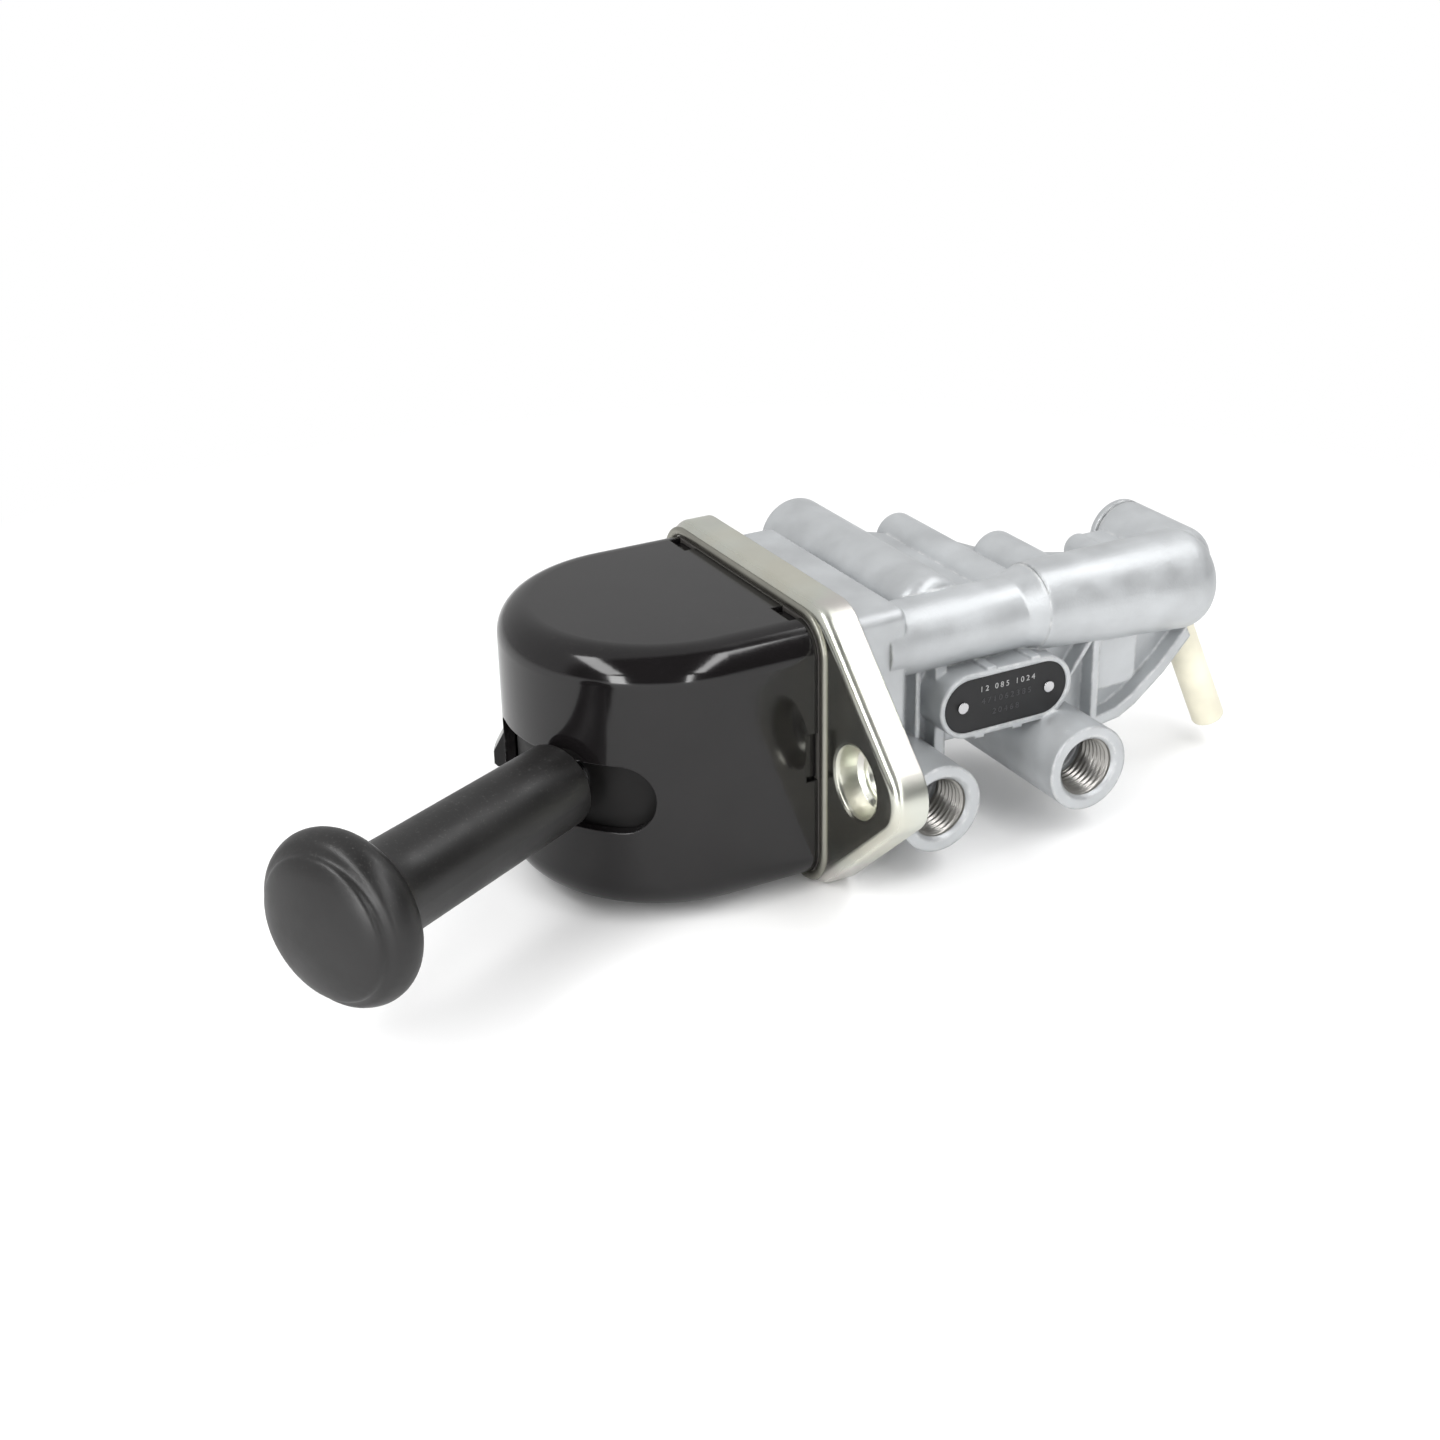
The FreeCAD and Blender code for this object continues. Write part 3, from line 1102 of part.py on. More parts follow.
def valve_spring_seat():
    end = SPRING_SEAT_X + SPRING_SEAT_LENGTH
    seat = along_x(MAIN_BORE, SPRING_SEAT_X, end, MAIN_Y, MAIN_Z)
    return seat.cut(along_x(DISC_STEM_RADIUS + RUNNING_FIT, SPRING_SEAT_X - 1, end + 1, MAIN_Y, MAIN_Z))


PIECES = {
    "cover": cover, "cover_gasket": cover_gasket, "slot_shutter": slot_shutter, "lever_hub": lever_hub,
    "hinge_bushes": hinge_bushes, "hinge_pin": hinge_pin, "hinge_bracket": hinge_bracket,
    "return_spring": return_spring, "lever_rod": lever_rod, "rod_collar": rod_collar, "grip": grip,
    "grip_guide": grip_guide, "grip_spring": grip_spring, "mounting_plate": mounting_plate,
    "body_gasket": body_gasket, "plate_screws": plate_screws, "valve_body": valve_body,
    "name_plate": name_plate, "name_plate_rivets": name_plate_rivets, "side_cap": side_cap,
    "exhaust_tube": exhaust_tube, "cam_plunger": cam_plunger, "plunger_guide": plunger_guide,
    "plunger_seal": plunger_seal, "graduating_spring": graduating_spring,
    "reaction_piston": reaction_piston, "piston_seals": piston_seals, "inlet_seat": inlet_seat,
    "valve_disc": valve_disc, "valve_spring": valve_spring, "valve_spring_seat": valve_spring_seat,
}


def save(name, shape):
    """Check a piece, move it to the frame of the mounting plane and write it."""
    if not shape.isValid():
        raise RuntimeError("invalid shape: " + name)
    placed = shape.copy()
    placed.translate(V(-PLATE_DEPTH, 0, 0))
    placed.exportStep("parts/" + name + ".step")


os.makedirs("parts", exist_ok=True)
for name, make in PIECES.items():
    save(name, make())
save("large_passage_plug", passage_plugs((0,)))
save("small_passage_plugs", passage_plugs((1, 2)))
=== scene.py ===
"""Looks of the parking brake valve: materials, port threads, plate collar, digits, floor, lights and camera.

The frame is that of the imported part: X runs from the lever to the rear of the casting, Z is up
through the flat of the cover and the ports face -Y. Sizes and places of pieces are in millimetres,
and shader lengths, powers and distances of the lights are in Blender's own units, metres and watts.
"""
import json
import math

import bpy
import numpy as np
from mathutils import Matrix, Vector


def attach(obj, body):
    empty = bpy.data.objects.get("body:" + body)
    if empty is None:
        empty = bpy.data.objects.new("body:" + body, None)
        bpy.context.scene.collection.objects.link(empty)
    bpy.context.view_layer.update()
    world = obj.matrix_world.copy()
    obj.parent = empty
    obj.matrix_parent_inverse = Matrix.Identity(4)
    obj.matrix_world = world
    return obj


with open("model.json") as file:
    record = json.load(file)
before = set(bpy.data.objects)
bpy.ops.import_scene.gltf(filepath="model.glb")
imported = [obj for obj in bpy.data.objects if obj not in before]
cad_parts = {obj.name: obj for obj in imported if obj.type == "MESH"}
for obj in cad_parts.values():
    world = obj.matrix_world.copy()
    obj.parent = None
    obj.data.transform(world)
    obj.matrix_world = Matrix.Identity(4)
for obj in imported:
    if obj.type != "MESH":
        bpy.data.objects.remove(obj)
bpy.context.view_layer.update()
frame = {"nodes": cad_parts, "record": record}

MM = 0.001

# threads in the ports
PORT_CENTRES = ((19.0, -44.6, -16.5), (60.6, -44.6, -16.5))
TAP_RADIUS = 7.25
THREAD_PITCH = 1.5
THREAD_START = 0.9
THREAD_LENGTH = 12.0
THREAD_HEIGHT = 0.72
THREAD_CLEARANCE = 0.05
THREAD_FADE_IN = 1.0
THREAD_FADE_OUT = 0.8
THREAD_SHARPNESS = 1.25
THREAD_ROOT_FLAT = 0.12
THREAD_STEPS_A_TURN = 14
THREAD_STEPS_ROUND = 96

# digits on the name plate: text, place along the plate, place above its middle, height, material, slot
LABEL_CENTRE = (44.7, -32.2, 1.0)
DIGIT_THICKNESS = 0.06
DIGIT_ROWS = (("1 2   0 8 5   1 0 2 4", 0.5, 3.4, 2.0, "digit_white", "white_plastic"),
              ("4 7 1 0 6 2 3 8 5", 0.3, 0.2, 2.1, "digit_grey", "label_black"),
              ("2 0 4 6 8", 0.2, -3.0, 2.1, "digit_grey", "label_black"))

# collar of the flange plate round the cover
PLATE_FACE = -8.2
COLLAR_HALF_WIDTH = 36.6
COLLAR_HALF_HEIGHT = 31.6
COLLAR_CORNER = 7.6
COLLAR_WIDTH = 2.2
COLLAR_STAND = 0.8
COLLAR_SINK = 0.02
COLLAR_CORNER_STEPS = 17
COLLAR_SECTION_STEPS = 13

# grain and mottle; every noise scale is a number per metre
GRAIN_SHARE = 0.6
MOTTLE_SPAN = (0.3, 0.7)
PLASTIC_MOTTLE_SCALE = 70.0
PLASTIC_MOTTLE = (0.86, 1.14)
METAL_MOTTLE_SCALE = 90.0
PLASTIC_BUMP = 0.35
METAL_BUMP = 0.4

# worn edges
WEAR_TURN = (0.995, 0.90)
WEAR_SCALE = 420.0
WEAR_GAPS = (0.42, 0.62)
WORN_METAL = (0.9, 0.9, 0.89, 1)
WORN_ROUGHNESS = 0.15

# dust and handling marks
DUST_UP = (0.2, 1.0)
DUST_SCALE = 1500.0
DUST_SPECKS = (0.60, 0.75)
PLASTIC_DUST = (0.42, 0.41, 0.39, 1)
METAL_DUST = (0.40, 0.39, 0.36, 1)
METAL_DUST_AMOUNT = 0.05
SMUDGE_SCALE = 45.0
SMUDGE_SPAN = (0.40, 0.70)
PLASTIC_SMUDGE = (0.85, 1.25)
METAL_SMUDGE = (0.82, 1.2)

# faces that count as the cut edges of sheet, by how far they look along X
CUT_SPAN = (0.2, 0.8)

# faint film colours of the zinc coating, each with its place on the ramp
FILM_COLOURS = ((0.30, (0.78, 0.74, 0.58, 1)), (0.45, (0.74, 0.76, 0.66, 1)), (0.55, (0.80, 0.72, 0.70, 1)),
                (0.70, (0.70, 0.76, 0.72, 1)))
FILM_STRENGTH = 0.45

# floor: its own tone, its tone in reflections, and where it fades to plain white for the camera
FLOOR_Z = -34.1
FLOOR_SIZE = 8.0
FLOOR_TONE = 0.90
FLOOR_ROUGHNESS = 0.9
FLOOR_SPECULAR = 0.1
MIRRORED_FLOOR = 0.70
FLOOR_FADE = (0.10, 0.34)

WHITE = (1, 1, 1, 1)

# surroundings: strength in reflections on the camera's side of the part and beyond it, along Y, then
# strength as soft light from the camera's side and from above and beyond, along Y + Z
DARK_SIDE = 0.05
BRIGHT_SIDE = 0.60
SIDE_CHANGE = (-0.06, 0.10)
SOFT_FRONT = 0.46
SOFT_BACK = 1.05
SOFT_CHANGE = (-0.6, 1.3)

# soft boxes: name, lower end and upper end as azimuth and elevation in degrees, distance, width, power
SOFT_BOXES = (("right_low", (-99.0, -6.0), (-96.0, 20.0), 0.9, 0.06, 0.9),
              ("right_high", (-90.0, 23.0), (-38.0, 62.0), 0.9, 0.11, 2.6),
              ("left_low", (-143.0, -6.0), (-147.0, 20.0), 0.9, 0.17, 2.6),
              ("left_high", (-148.0, 23.5), (164.0, 56.0), 0.9, 0.18, 3.4),
              ("top", (-26.0, 48.0), (14.0, 54.0), 1.0, 0.34, 1.7))

# camera of the reference view, place in millimetres
CAMERA_PLACE = (-232.9, -417.5, 219.1)
CAMERA_FORWARD = (0.419, 0.8008, -0.428)
CAMERA_UP = (0.2171, 0.3694, 0.9036)
CAMERA_LENS = 55.0
CAMERA_SENSOR = 36.0


# helpers for shader nodes
class Nodes:
    """Adds nodes and links inside one node tree."""

    def __init__(self, tree):
        self.tree = tree

    def add(self, kind, inputs=None, **settings):
        node = self.tree.nodes.new(kind)
        for key, value in settings.items():
            setattr(node, key, value)
        for key, value in (inputs or {}).items():
            self.feed(node.inputs[key], value)
        return node

    def feed(self, socket, value):
        """Links the socket where the value is a socket too, and otherwise sets it."""
        if isinstance(value, bpy.types.NodeSocket):
            self.tree.links.new(value, socket)
        else:
            socket.default_value = value

    def math(self, operation, a, b=0.0, clamp=False):
        return self.add("ShaderNodeMath", {0: a, 1: b}, operation=operation, use_clamp=clamp).outputs[0]

    def mix(self, factor, a, b):
        """Mixes two colours."""
        node = self.add("ShaderNodeMix", data_type="RGBA")
        for index, value in ((0, factor), (6, a), (7, b)):
            self.feed(node.inputs[index], value)
        return node.outputs[2]

    def mix_shaders(self, factor, a, b):
        return self.add("ShaderNodeMixShader", {0: factor, 1: a.outputs[0], 2: b.outputs[0]})

    def span(self, value, low, high, to_low=0.0, to_high=1.0):
        """Maps a value from one range to another and holds the ends."""
        return self.add("ShaderNodeMapRange", {0: value, 1: low, 2: high, 3: to_low, 4: to_high}).outputs[0]

    def noise(self, vector, scale, detail=3.0, roughness=0.5):
        return self.add("ShaderNodeTexNoise", {"Vector": vector, "Scale": scale, "Detail": detail,
                                               "Roughness": roughness}).outputs["Fac"]

    def place(self):
        """Place in the object's own metres."""
        return self.add("ShaderNodeTexCoord").outputs["Object"]

    def normal(self):
        return self.add("ShaderNodeNewGeometry").outputs["Normal"]

    def part_of(self, vector, axis):
        return self.add("ShaderNodeSeparateXYZ", {0: vector}).outputs[axis]


def new_group(name, inputs, outputs):
    tree = bpy.data.node_groups.new(name, "ShaderNodeTree")
    for label, value in inputs:
        socket = tree.interface.new_socket(label, in_out="INPUT", socket_type="NodeSocketFloat")
        socket.default_value = value
    for label in outputs:
        tree.interface.new_socket(label, in_out="OUTPUT", socket_type="NodeSocketFloat")
    n = Nodes(tree)
    return tree, n, n.add("NodeGroupInput"), n.add("NodeGroupOutput")


def grain_group():
    """Height and tone of a fine moulded or cast grain over a broader mottle."""
    tree, n, gin, gout = new_group("surface_grain", (("Scale", 900.0), ("Broad", 60.0)), ("Height", "Tone"))
    where = n.place()
    fine = n.noise(where, gin.outputs["Scale"], 4.0, 0.6)
    broad = n.noise(where, gin.outputs["Broad"], 3.0, 0.5)
    height = n.math("ADD", n.math("MULTIPLY", fine, GRAIN_SHARE), n.math("MULTIPLY", broad, 1 - GRAIN_SHARE))
    n.feed(gout.inputs["Height"], height)
    n.feed(gout.inputs["Tone"], broad)
    return tree


def wear_group():
    """Mask of outside edges: where the bevelled normal leaves the true one, broken up by noise."""
    tree, n, gin, gout = new_group("edge_wear", (("Width", 0.0006), ("Amount", 0.5)), ("Mask",))
    bevel = n.add("ShaderNodeBevel", {"Radius": gin.outputs["Width"]}, samples=4)
    dot = n.add("ShaderNodeVectorMath", {0: bevel.outputs[0], 1: n.normal()}, operation="DOT_PRODUCT")
    turned = n.span(dot.outputs["Value"], *WEAR_TURN)
    broken = n.span(n.noise(n.place(), WEAR_SCALE, 3.0, 0.6), *WEAR_GAPS)
    mask = n.math("MULTIPLY", n.math("MULTIPLY", turned, broken), gin.outputs["Amount"], clamp=True)
    n.feed(gout.inputs["Mask"], mask)
    return tree


def dust_group():
    """Mask of faint dust on faces that look up, and of handling marks everywhere."""
    tree, n, gin, gout = new_group("light_dust", (("Amount", 0.1),), ("Dust", "Smudge"))
    up = n.span(n.part_of(n.normal(), "Z"), *DUST_UP)
    where = n.place()
    speck = n.span(n.noise(where, DUST_SCALE, 2.0, 0.7), *DUST_SPECKS)
    dust = n.math("MULTIPLY", n.math("MULTIPLY", up, speck), gin.outputs["Amount"], clamp=True)
    n.feed(gout.inputs["Dust"], dust)
    n.feed(gout.inputs["Smudge"], n.span(n.noise(where, SMUDGE_SCALE, 4.0, 0.65), *SMUDGE_SPAN))
    return tree


GRAIN = grain_group()
WEAR = wear_group()
DUST = dust_group()
MATERIALS = {}


# materials
def start_material(name):
    """Empty material with a Principled shader on its output, kept in MATERIALS under its name."""
    mat = bpy.data.materials.new(name)
    MATERIALS[name] = mat
    mat.use_nodes = True
    mat.node_tree.nodes.clear()
    n = Nodes(mat.node_tree)
    shader = n.add("ShaderNodeBsdfPrincipled")
    out = n.add("ShaderNodeOutputMaterial", {"Surface": shader.outputs[0]})
    return n, shader, out


def surface_groups(n, grain_scale, mottle_scale, wear_width, wear, dust):
    """The three shared groups with this material's values."""
    grain = n.add("ShaderNodeGroup", node_tree=GRAIN)
    worn = n.add("ShaderNodeGroup", node_tree=WEAR)
    dirt = n.add("ShaderNodeGroup", node_tree=DUST)
    n.feed(grain.inputs["Scale"], grain_scale)
    n.feed(grain.inputs["Broad"], mottle_scale)
    n.feed(worn.inputs["Width"], wear_width)
    n.feed(worn.inputs["Amount"], wear)
    n.feed(dirt.inputs["Amount"], dust)
    return grain, worn, dirt


def mottled(n, grain, color, darker, lighter):
    """The colour times a darker and a lighter factor, mixed by the broad mottle."""
    dark = tuple(c * darker for c in color) + (1,)
    light = tuple(min(1.0, c * lighter) for c in color) + (1,)
    return n.mix(n.span(grain.outputs["Tone"], *MOTTLE_SPAN), dark, light)


def bump(n, shader, height, strength, distance, radius):
    """Grain on top of edges rounded by the bevel normal."""
    soft = n.add("ShaderNodeBevel", {"Radius": radius}, samples=6)
    node = n.add("ShaderNodeBump", {"Height": height, "Strength": strength, "Distance": distance,
                                    "Normal": soft.outputs[0]})
    n.feed(shader.inputs["Normal"], node.outputs[0])


def plastic(name, color, rough, grain_scale, grain_depth, edge=0.0004, wear=0.35, dust=0.08,
            specular=0.5):
    """Moulded plastic: smudged roughness, grain, a little dust and paler worn edges."""
    n, shader, _ = start_material(name)
    grain, worn, dirt = surface_groups(n, grain_scale, PLASTIC_MOTTLE_SCALE, edge * 1.5, wear, dust)
    pale = tuple(min(1.0, c * 1.9 + 0.035) for c in color) + (1,)
    tone = mottled(n, grain, color, *PLASTIC_MOTTLE)
    tone = n.mix(worn.outputs["Mask"], tone, pale)
    tone = n.mix(dirt.outputs["Dust"], tone, PLASTIC_DUST)
    smudged = n.span(dirt.outputs["Smudge"], 0, 1, *(rough * factor for factor in PLASTIC_SMUDGE))
    rubbed = n.math("MULTIPLY", worn.outputs["Mask"], WORN_ROUGHNESS)
    n.feed(shader.inputs["Base Color"], tone)
    n.feed(shader.inputs["Roughness"], n.math("ADD", smudged, rubbed, clamp=True))
    n.feed(shader.inputs["Specular IOR Level"], specular)
    bump(n, shader, grain.outputs["Height"], PLASTIC_BUMP, grain_depth, edge)


def film(n, tone, scale):
    """The tone with the zinc coating's faint film colours mixed in."""
    ramp_node = n.add("ShaderNodeValToRGB", {0: n.noise(n.place(), scale, 2.0, 0.5)})
    ramp = ramp_node.color_ramp
    for element, (position, color) in zip(ramp.elements, (FILM_COLOURS[0], FILM_COLOURS[-1])):
        element.position = position
        element.color = color
    for position, color in FILM_COLOURS[1:-1]:
        ramp.elements.new(position).color = color
    return n.mix(FILM_STRENGTH, tone, ramp_node.outputs[0])


def metal(name, color, rough, grain_scale, grain_depth, edge=0.0003, wear=0.3, metallic=1.0, film_scale=None,
          mottle=0.10, cut_rough=0.0):
    """Metal with mottled tone and roughness, brighter edges and, if asked, faint film colours.

    cut_rough is added to the roughness of faces that don't look along X, the cut edges of sheet.
    """
    n, shader, _ = start_material(name)
    grain, worn, dirt = surface_groups(n, grain_scale, METAL_MOTTLE_SCALE, edge, wear, METAL_DUST_AMOUNT)
    tone = mottled(n, grain, color, 1 - mottle, 1 + mottle * 0.6)
    if film_scale:
        tone = film(n, tone, film_scale)
    tone = n.mix(worn.outputs["Mask"], tone, WORN_METAL)
    tone = n.mix(dirt.outputs["Dust"], tone, METAL_DUST)
    roughness = n.span(dirt.outputs["Smudge"], 0, 1, *(rough * factor for factor in METAL_SMUDGE))
    if cut_rough:
        along = n.math("ABSOLUTE", n.part_of(n.normal(), "X"))
        roughness = n.math("ADD", roughness, n.span(along, *CUT_SPAN, cut_rough, 0.0))
    n.feed(shader.inputs["Base Color"], tone)
    n.feed(shader.inputs["Roughness"], roughness)
    n.feed(shader.inputs["Metallic"], metallic)
    bump(n, shader, grain.outputs["Height"], METAL_BUMP, grain_depth, edge)


def make_materials():
    """Every material of the part: name, colour, roughness, grain scale, grain depth and what differs."""
    plastic("gloss_black", (0.0062, 0.0055, 0.0058), 0.12, 500.0, 0.00002, wear=0.06, dust=0.03,
            specular=0.48)
    plastic("matt_black", (0.0095, 0.009, 0.009), 0.42, 1600.0, 0.00006, edge=0.0005, wear=0.18, dust=0.10)
    # the shutter's black is darker and less glossy than the matt black: painted shade of the slot recess it
    # sits in
    plastic("shutter_black_painted_shade", (0.006, 0.0055, 0.0055), 0.50, 1600.0, 0.00006, edge=0.0005, wear=0.15,
            dust=0.04, specular=0.22)
    metal("cast_aluminium", (0.545, 0.562, 0.575), 0.45, 1300.0, 0.00026, edge=0.0012, wear=0.6,
          metallic=0.6, mottle=0.12)
    metal("machined_aluminium", (0.74, 0.74, 0.76), 0.28, 900.0, 0.00002)
    metal("zinc_steel", (0.72, 0.73, 0.68), 0.23, 700.0, 0.00003, edge=0.0004, wear=0.2, film_scale=38.0,
          cut_rough=0.14)
    metal("dull_zinc", (0.36, 0.355, 0.31), 0.42, 700.0, 0.00005, edge=0.0004)
    metal("bright_steel", (0.62, 0.62, 0.63), 0.16, 900.0, 0.00001)
    metal("spring_steel", (0.34, 0.34, 0.36), 0.32, 900.0, 0.00001)
    metal("brass", (0.72, 0.52, 0.24), 0.24, 900.0, 0.00002)
    # the threads are far darker than machined aluminium: painted shade inside the port bores
    metal("port_thread", (0.40, 0.39, 0.37), 0.34, 900.0, 0.00002, metallic=0.8, wear=0.7)
    plastic("rubber", (0.022, 0.022, 0.022), 0.62, 1200.0, 0.00004)
    plastic("gasket", (0.05, 0.046, 0.042), 0.7, 900.0, 0.00004)
    plastic("label_black", (0.016, 0.016, 0.017), 0.42, 1400.0, 0.00003, edge=0.0002, wear=0.3,
            specular=0.35)
    plastic("digit_white", (0.50, 0.50, 0.50), 0.45, 900.0, 0.00001, wear=0.0, dust=0.0)
    plastic("digit_grey", (0.060, 0.060, 0.064), 0.40, 900.0, 0.00001, wear=0.0, dust=0.0)
    plastic("cream_plastic", (0.74, 0.71, 0.57), 0.42, 700.0, 0.00003, wear=0.05, dust=0.05)
    plastic("white_plastic", (0.72, 0.71, 0.67), 0.38, 700.0, 0.00002, wear=0.05)


def paint_nodes():
    """Gives every shown CAD node the material of its record slot, and the shutter its own darker one, whose
    darker colour is painted shade of the slot it sits in.
    """
    slots = {row["node"]: row["material_slot"] for row in frame["record"]["subparts"]}
    slots["slot_shutter"] = "shutter_black_painted_shade"
    for name, obj in frame["nodes"].items():
        obj.data.materials.clear()
        obj.data.materials.append(MATERIALS[slots[name]])


# pieces
def add_piece(name, mesh, material, body):
    """Object at the origin that shows the mesh and rides on the body."""
    mesh.materials.clear()
    mesh.materials.append(MATERIALS[material])
    obj = bpy.data.objects.new(name, mesh)
    bpy.context.collection.objects.link(obj)
    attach(obj, body)
    return obj


def grid_mesh(name, points, closed_u=False, closed_v=False, flip=False):
    """Mesh from a grid of points, joined round in u and v where asked."""
    rows, cols = points.shape[:2]
    i = np.arange(rows if closed_u else rows - 1)
    j = np.arange(cols if closed_v else cols - 1)
    a, b = np.meshgrid(i, j, indexing="ij")
    a1, b1 = (a + 1) % rows, (b + 1) % cols
    quads = np.stack([a * cols + b, a1 * cols + b, a1 * cols + b1, a * cols + b1], axis=-1).reshape(-1, 4)
    if flip:
        quads = quads[:, ::-1]
    mesh = bpy.data.meshes.new(name)
    mesh.from_pydata((points.reshape(-1, 3) * MM).tolist(), [], quads.tolist())
    mesh.polygons.foreach_set("use_smooth", np.ones(len(mesh.polygons), dtype=bool))
    mesh.update()
    return mesh


def port_thread(index, centre):
    """Internal thread lining a port.

    Radius = tapping radius - THREAD_CLEARANCE - THREAD_HEIGHT * w, where w is a triangle wave of
    (depth / pitch - angle / full turn), steepened by THREAD_SHARPNESS and cut off at THREAD_ROOT_FLAT
    and at one, which leaves flat roots and crests. The height fades in behind the chamfer and fades
    out at the end of the thread.
    """
    x0, y0, z0 = centre
    end = THREAD_START + THREAD_LENGTH
    rows = int(THREAD_LENGTH / THREAD_PITCH * THREAD_STEPS_A_TURN) + 1
    depth = np.linspace(THREAD_START, end, rows)[:, None]
    angle = np.linspace(0, 2 * np.pi, THREAD_STEPS_ROUND, endpoint=False)[None, :]
    phase = (depth / THREAD_PITCH - angle / (2 * np.pi)) % 1.0
    wave = np.clip(THREAD_SHARPNESS * (1 - np.abs(2 * phase - 1)) - THREAD_ROOT_FLAT, 0, 1)
    fade_in = np.clip((depth - THREAD_START) / THREAD_FADE_IN, 0, 1)
    fade_out = np.clip((end - depth) / THREAD_FADE_OUT, 0, 1)
    radius = TAP_RADIUS - THREAD_CLEARANCE - THREAD_HEIGHT * wave * fade_in * fade_out
    x = x0 + radius * np.cos(angle)
    y = y0 + depth + 0 * angle
    z = z0 + radius * np.sin(angle)
    name = f"port_thread_{index}"
    mesh = grid_mesh(name, np.stack([x, y, z], axis=-1), closed_v=True, flip=True)
    return add_piece(name, mesh, "port_thread", "housing")


def plate_collar():
    """Raised collar of the flange plate round the cover.

    The path is a rounded rectangle in the YZ plane. At each step the section leaves the plate's
    face, rises as COLLAR_STAND * sin(t) and moves outwards as COLLAR_WIDTH * (1 + cos(t)) / 2 for
    t from a half turn to zero, so it is a low rounded bead.
    """
    corner = np.linspace(0, np.pi / 2, COLLAR_CORNER_STEPS)
    y0, z0 = COLLAR_HALF_WIDTH - COLLAR_CORNER, COLLAR_HALF_HEIGHT - COLLAR_CORNER
    quarters = []
    for turn, sy, sz in ((0, 1, 1), (1, -1, 1), (2, -1, -1), (3, 1, -1)):
        angle = corner + turn * np.pi / 2
        quarters.append(np.stack([sy * y0 + 0 * angle, sz * z0 + 0 * angle, angle], axis=-1))
    path = np.concatenate(quarters)
    angle = path[:, 2:3]
    t = np.linspace(np.pi, 0, COLLAR_SECTION_STEPS)[None, :]
    out = COLLAR_CORNER + COLLAR_WIDTH * (1 + np.cos(t)) / 2
    x = PLATE_FACE + COLLAR_SINK - COLLAR_STAND * np.sin(t) + 0 * angle
    y = path[:, 0:1] + out * np.cos(angle)
    z = path[:, 1:2] + out * np.sin(angle)
    mesh = grid_mesh("plate_collar", np.stack([x, y, z], axis=-1), closed_u=True)
    # the collar takes the darker dull zinc instead of the plate's own zinc: painted shade on the bead
    return add_piece("plate_collar", mesh, "dull_zinc", "housing")


def printed_row(name, text, along, above, height, material, slot_name):
    """Row of plain digits on the name plate: flat shapes of a small even thickness facing -Y."""
    curve = bpy.data.curves.new(name, "FONT")
    curve.body = text
    curve.size = height
    curve.extrude = DIGIT_THICKNESS / 2
    curve.align_x = "CENTER"
    curve.align_y = "CENTER"
    draft = bpy.data.objects.new(name, curve)
    bpy.context.collection.objects.link(draft)
    mesh = bpy.data.meshes.new_from_object(draft.evaluated_get(bpy.context.evaluated_depsgraph_get()))
    bpy.data.objects.remove(draft)
    x, y, z = LABEL_CENTRE
    mesh.transform(Matrix.Rotation(math.pi / 2, 4, "X"))
    mesh.transform(Matrix.Translation((x + along, y - DIGIT_THICKNESS / 2, z + above)))
    mesh.transform(Matrix.Scale(MM, 4))
    mesh.name = name
    return add_piece(name, mesh, material, "housing")


# floor, surroundings, lights and camera
def stage_floor():
    """Plain pale floor far larger than the view, which fades to white away from the part."""
    bpy.ops.mesh.primitive_plane_add(size=FLOOR_SIZE, location=(0, 0, FLOOR_Z * MM))
    floor = bpy.context.object
    floor.name = "floor"
    n, shader, out = start_material("pale_floor")
    n.feed(shader.inputs["Roughness"], FLOOR_ROUGHNESS)
    n.feed(shader.inputs["Specular IOR Level"], FLOOR_SPECULAR)
    path = n.add("ShaderNodeLightPath")
    direct, mirrored = (FLOOR_TONE,) * 3 + (1,), (MIRRORED_FLOOR,) * 3 + (1,)
    n.feed(shader.inputs["Base Color"], n.mix(path.outputs["Is Glossy Ray"], direct, mirrored))
    away = n.add("ShaderNodeVectorMath", {0: n.place()}, operation="LENGTH").outputs["Value"]
    far = n.math("MULTIPLY", n.span(away, *FLOOR_FADE), path.outputs["Is Camera Ray"])
    white = n.add("ShaderNodeEmission", {"Color": WHITE, "Strength": 1.0})
    n.feed(out.inputs["Surface"], n.mix_shaders(far, shader, white).outputs[0])
    floor.data.materials.append(MATERIALS["pale_floor"])
    return floor


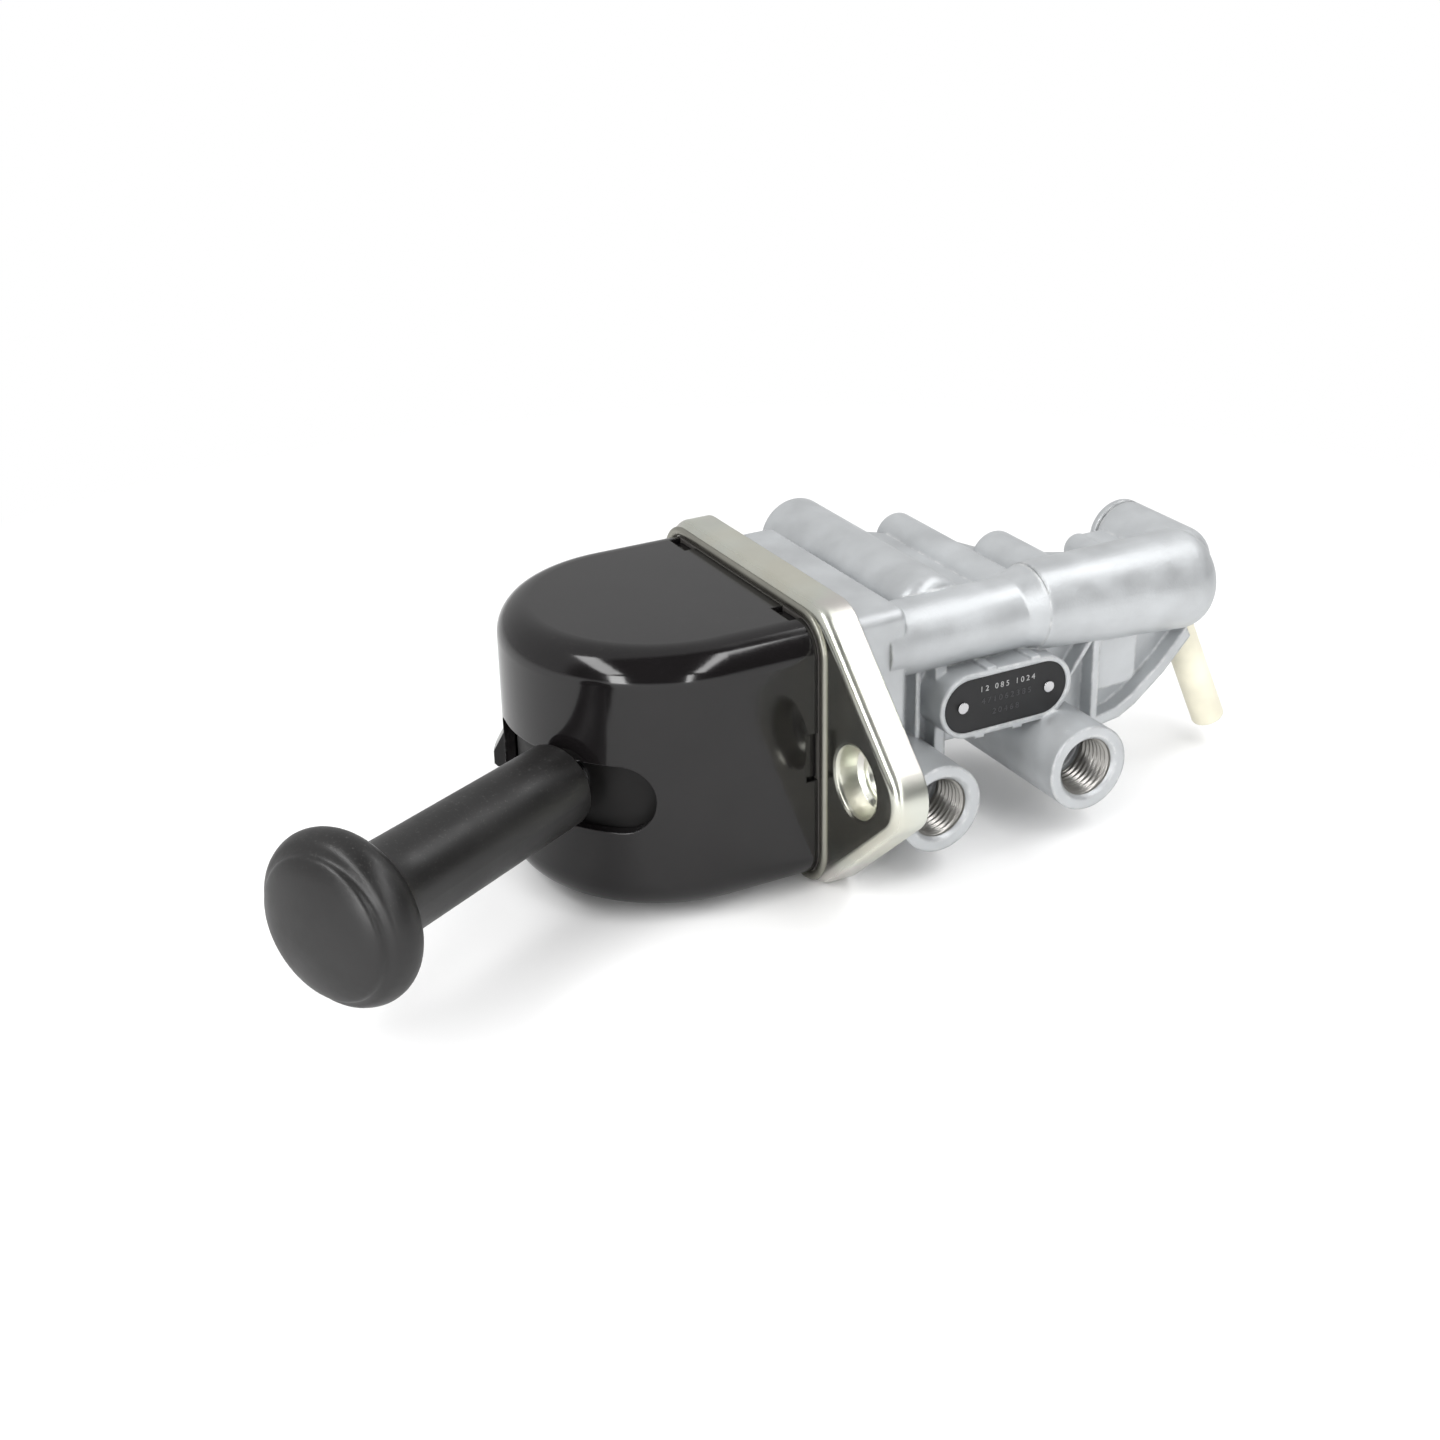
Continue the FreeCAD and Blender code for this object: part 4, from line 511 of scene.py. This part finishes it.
def stage_world():
    """White surroundings for the camera; in reflections, dark on its own side and bright beyond the part."""
    world = bpy.data.worlds.new("studio")
    bpy.context.scene.world = world
    world.use_nodes = True
    world.node_tree.nodes.clear()
    n = Nodes(world.node_tree)
    path = n.add("ShaderNodeLightPath")
    where = n.add("ShaderNodeTexCoord").outputs["Generated"]
    beyond = n.part_of(where, "Y")
    lean = n.math("ADD", beyond, n.part_of(where, "Z"))
    strengths = (n.span(lean, *SOFT_CHANGE, SOFT_FRONT, SOFT_BACK),
                 n.span(beyond, *SIDE_CHANGE, DARK_SIDE, BRIGHT_SIDE),
                 1.0)
    soft, mirrored, seen = (n.add("ShaderNodeBackground", {"Color": WHITE, "Strength": strength})
                            for strength in strengths)
    lit = n.mix_shaders(path.outputs["Is Glossy Ray"], soft, mirrored)
    last = n.mix_shaders(path.outputs["Is Camera Ray"], lit, seen)
    n.add("ShaderNodeOutputWorld", {0: last.outputs[0]})


def toward(azimuth, elevation, distance):
    """Point at the distance from the origin in the direction of the azimuth and elevation."""
    a, e = math.radians(azimuth), math.radians(elevation)
    return Vector((math.cos(e) * math.cos(a), math.cos(e) * math.sin(a), math.sin(e))) * distance


def placed(obj, across, along, back, middle):
    """Puts the object at the middle with its own X, Y and Z along the three directions."""
    rows = [[across[i], along[i], back[i], middle[i]] for i in range(3)]
    obj.matrix_world = Matrix(rows + [[0, 0, 0, 1]])


def stage_light(name, low, high, distance, width, power):
    """Soft box that runs from one direction to another and faces the part.

    The camera itself doesn't see it.
    """
    foot, head = toward(*low, distance), toward(*high, distance)
    data = bpy.data.lights.new(name, "AREA")
    data.shape = "RECTANGLE"
    data.size, data.size_y = width, (head - foot).length
    data.energy = power
    obj = bpy.data.objects.new(name, data)
    bpy.context.collection.objects.link(obj)
    obj.visible_camera = False
    middle = (foot + head) / 2
    back = middle.normalized()
    along = (head - foot - back * (head - foot).dot(back)).normalized()
    placed(obj, along.cross(back), along, back, middle)
    return obj


def stage_camera():
    """Camera at the measured place of the reference view."""
    data = bpy.data.cameras.new("camera")
    data.sensor_width = CAMERA_SENSOR
    data.lens = CAMERA_LENS
    data.clip_start, data.clip_end = 0.01, 50
    obj = bpy.data.objects.new("camera", data)
    bpy.context.collection.objects.link(obj)
    forward = Vector(CAMERA_FORWARD).normalized()
    right = forward.cross(Vector(CAMERA_UP)).normalized()
    placed(obj, right, right.cross(forward), -forward, Vector(CAMERA_PLACE) * MM)
    bpy.context.scene.camera = obj


make_materials()
paint_nodes()
plate_collar()
for number, centre in enumerate(PORT_CENTRES, 1):
    port_thread(number, centre)
for number, row in enumerate(DIGIT_ROWS, 1):
    printed_row(f"label_digits_{number}", *row)

stage_floor()
stage_world()
for box in SOFT_BOXES:
    stage_light(*box)
stage_camera()

bpy.context.scene.view_settings.view_transform = "Standard"
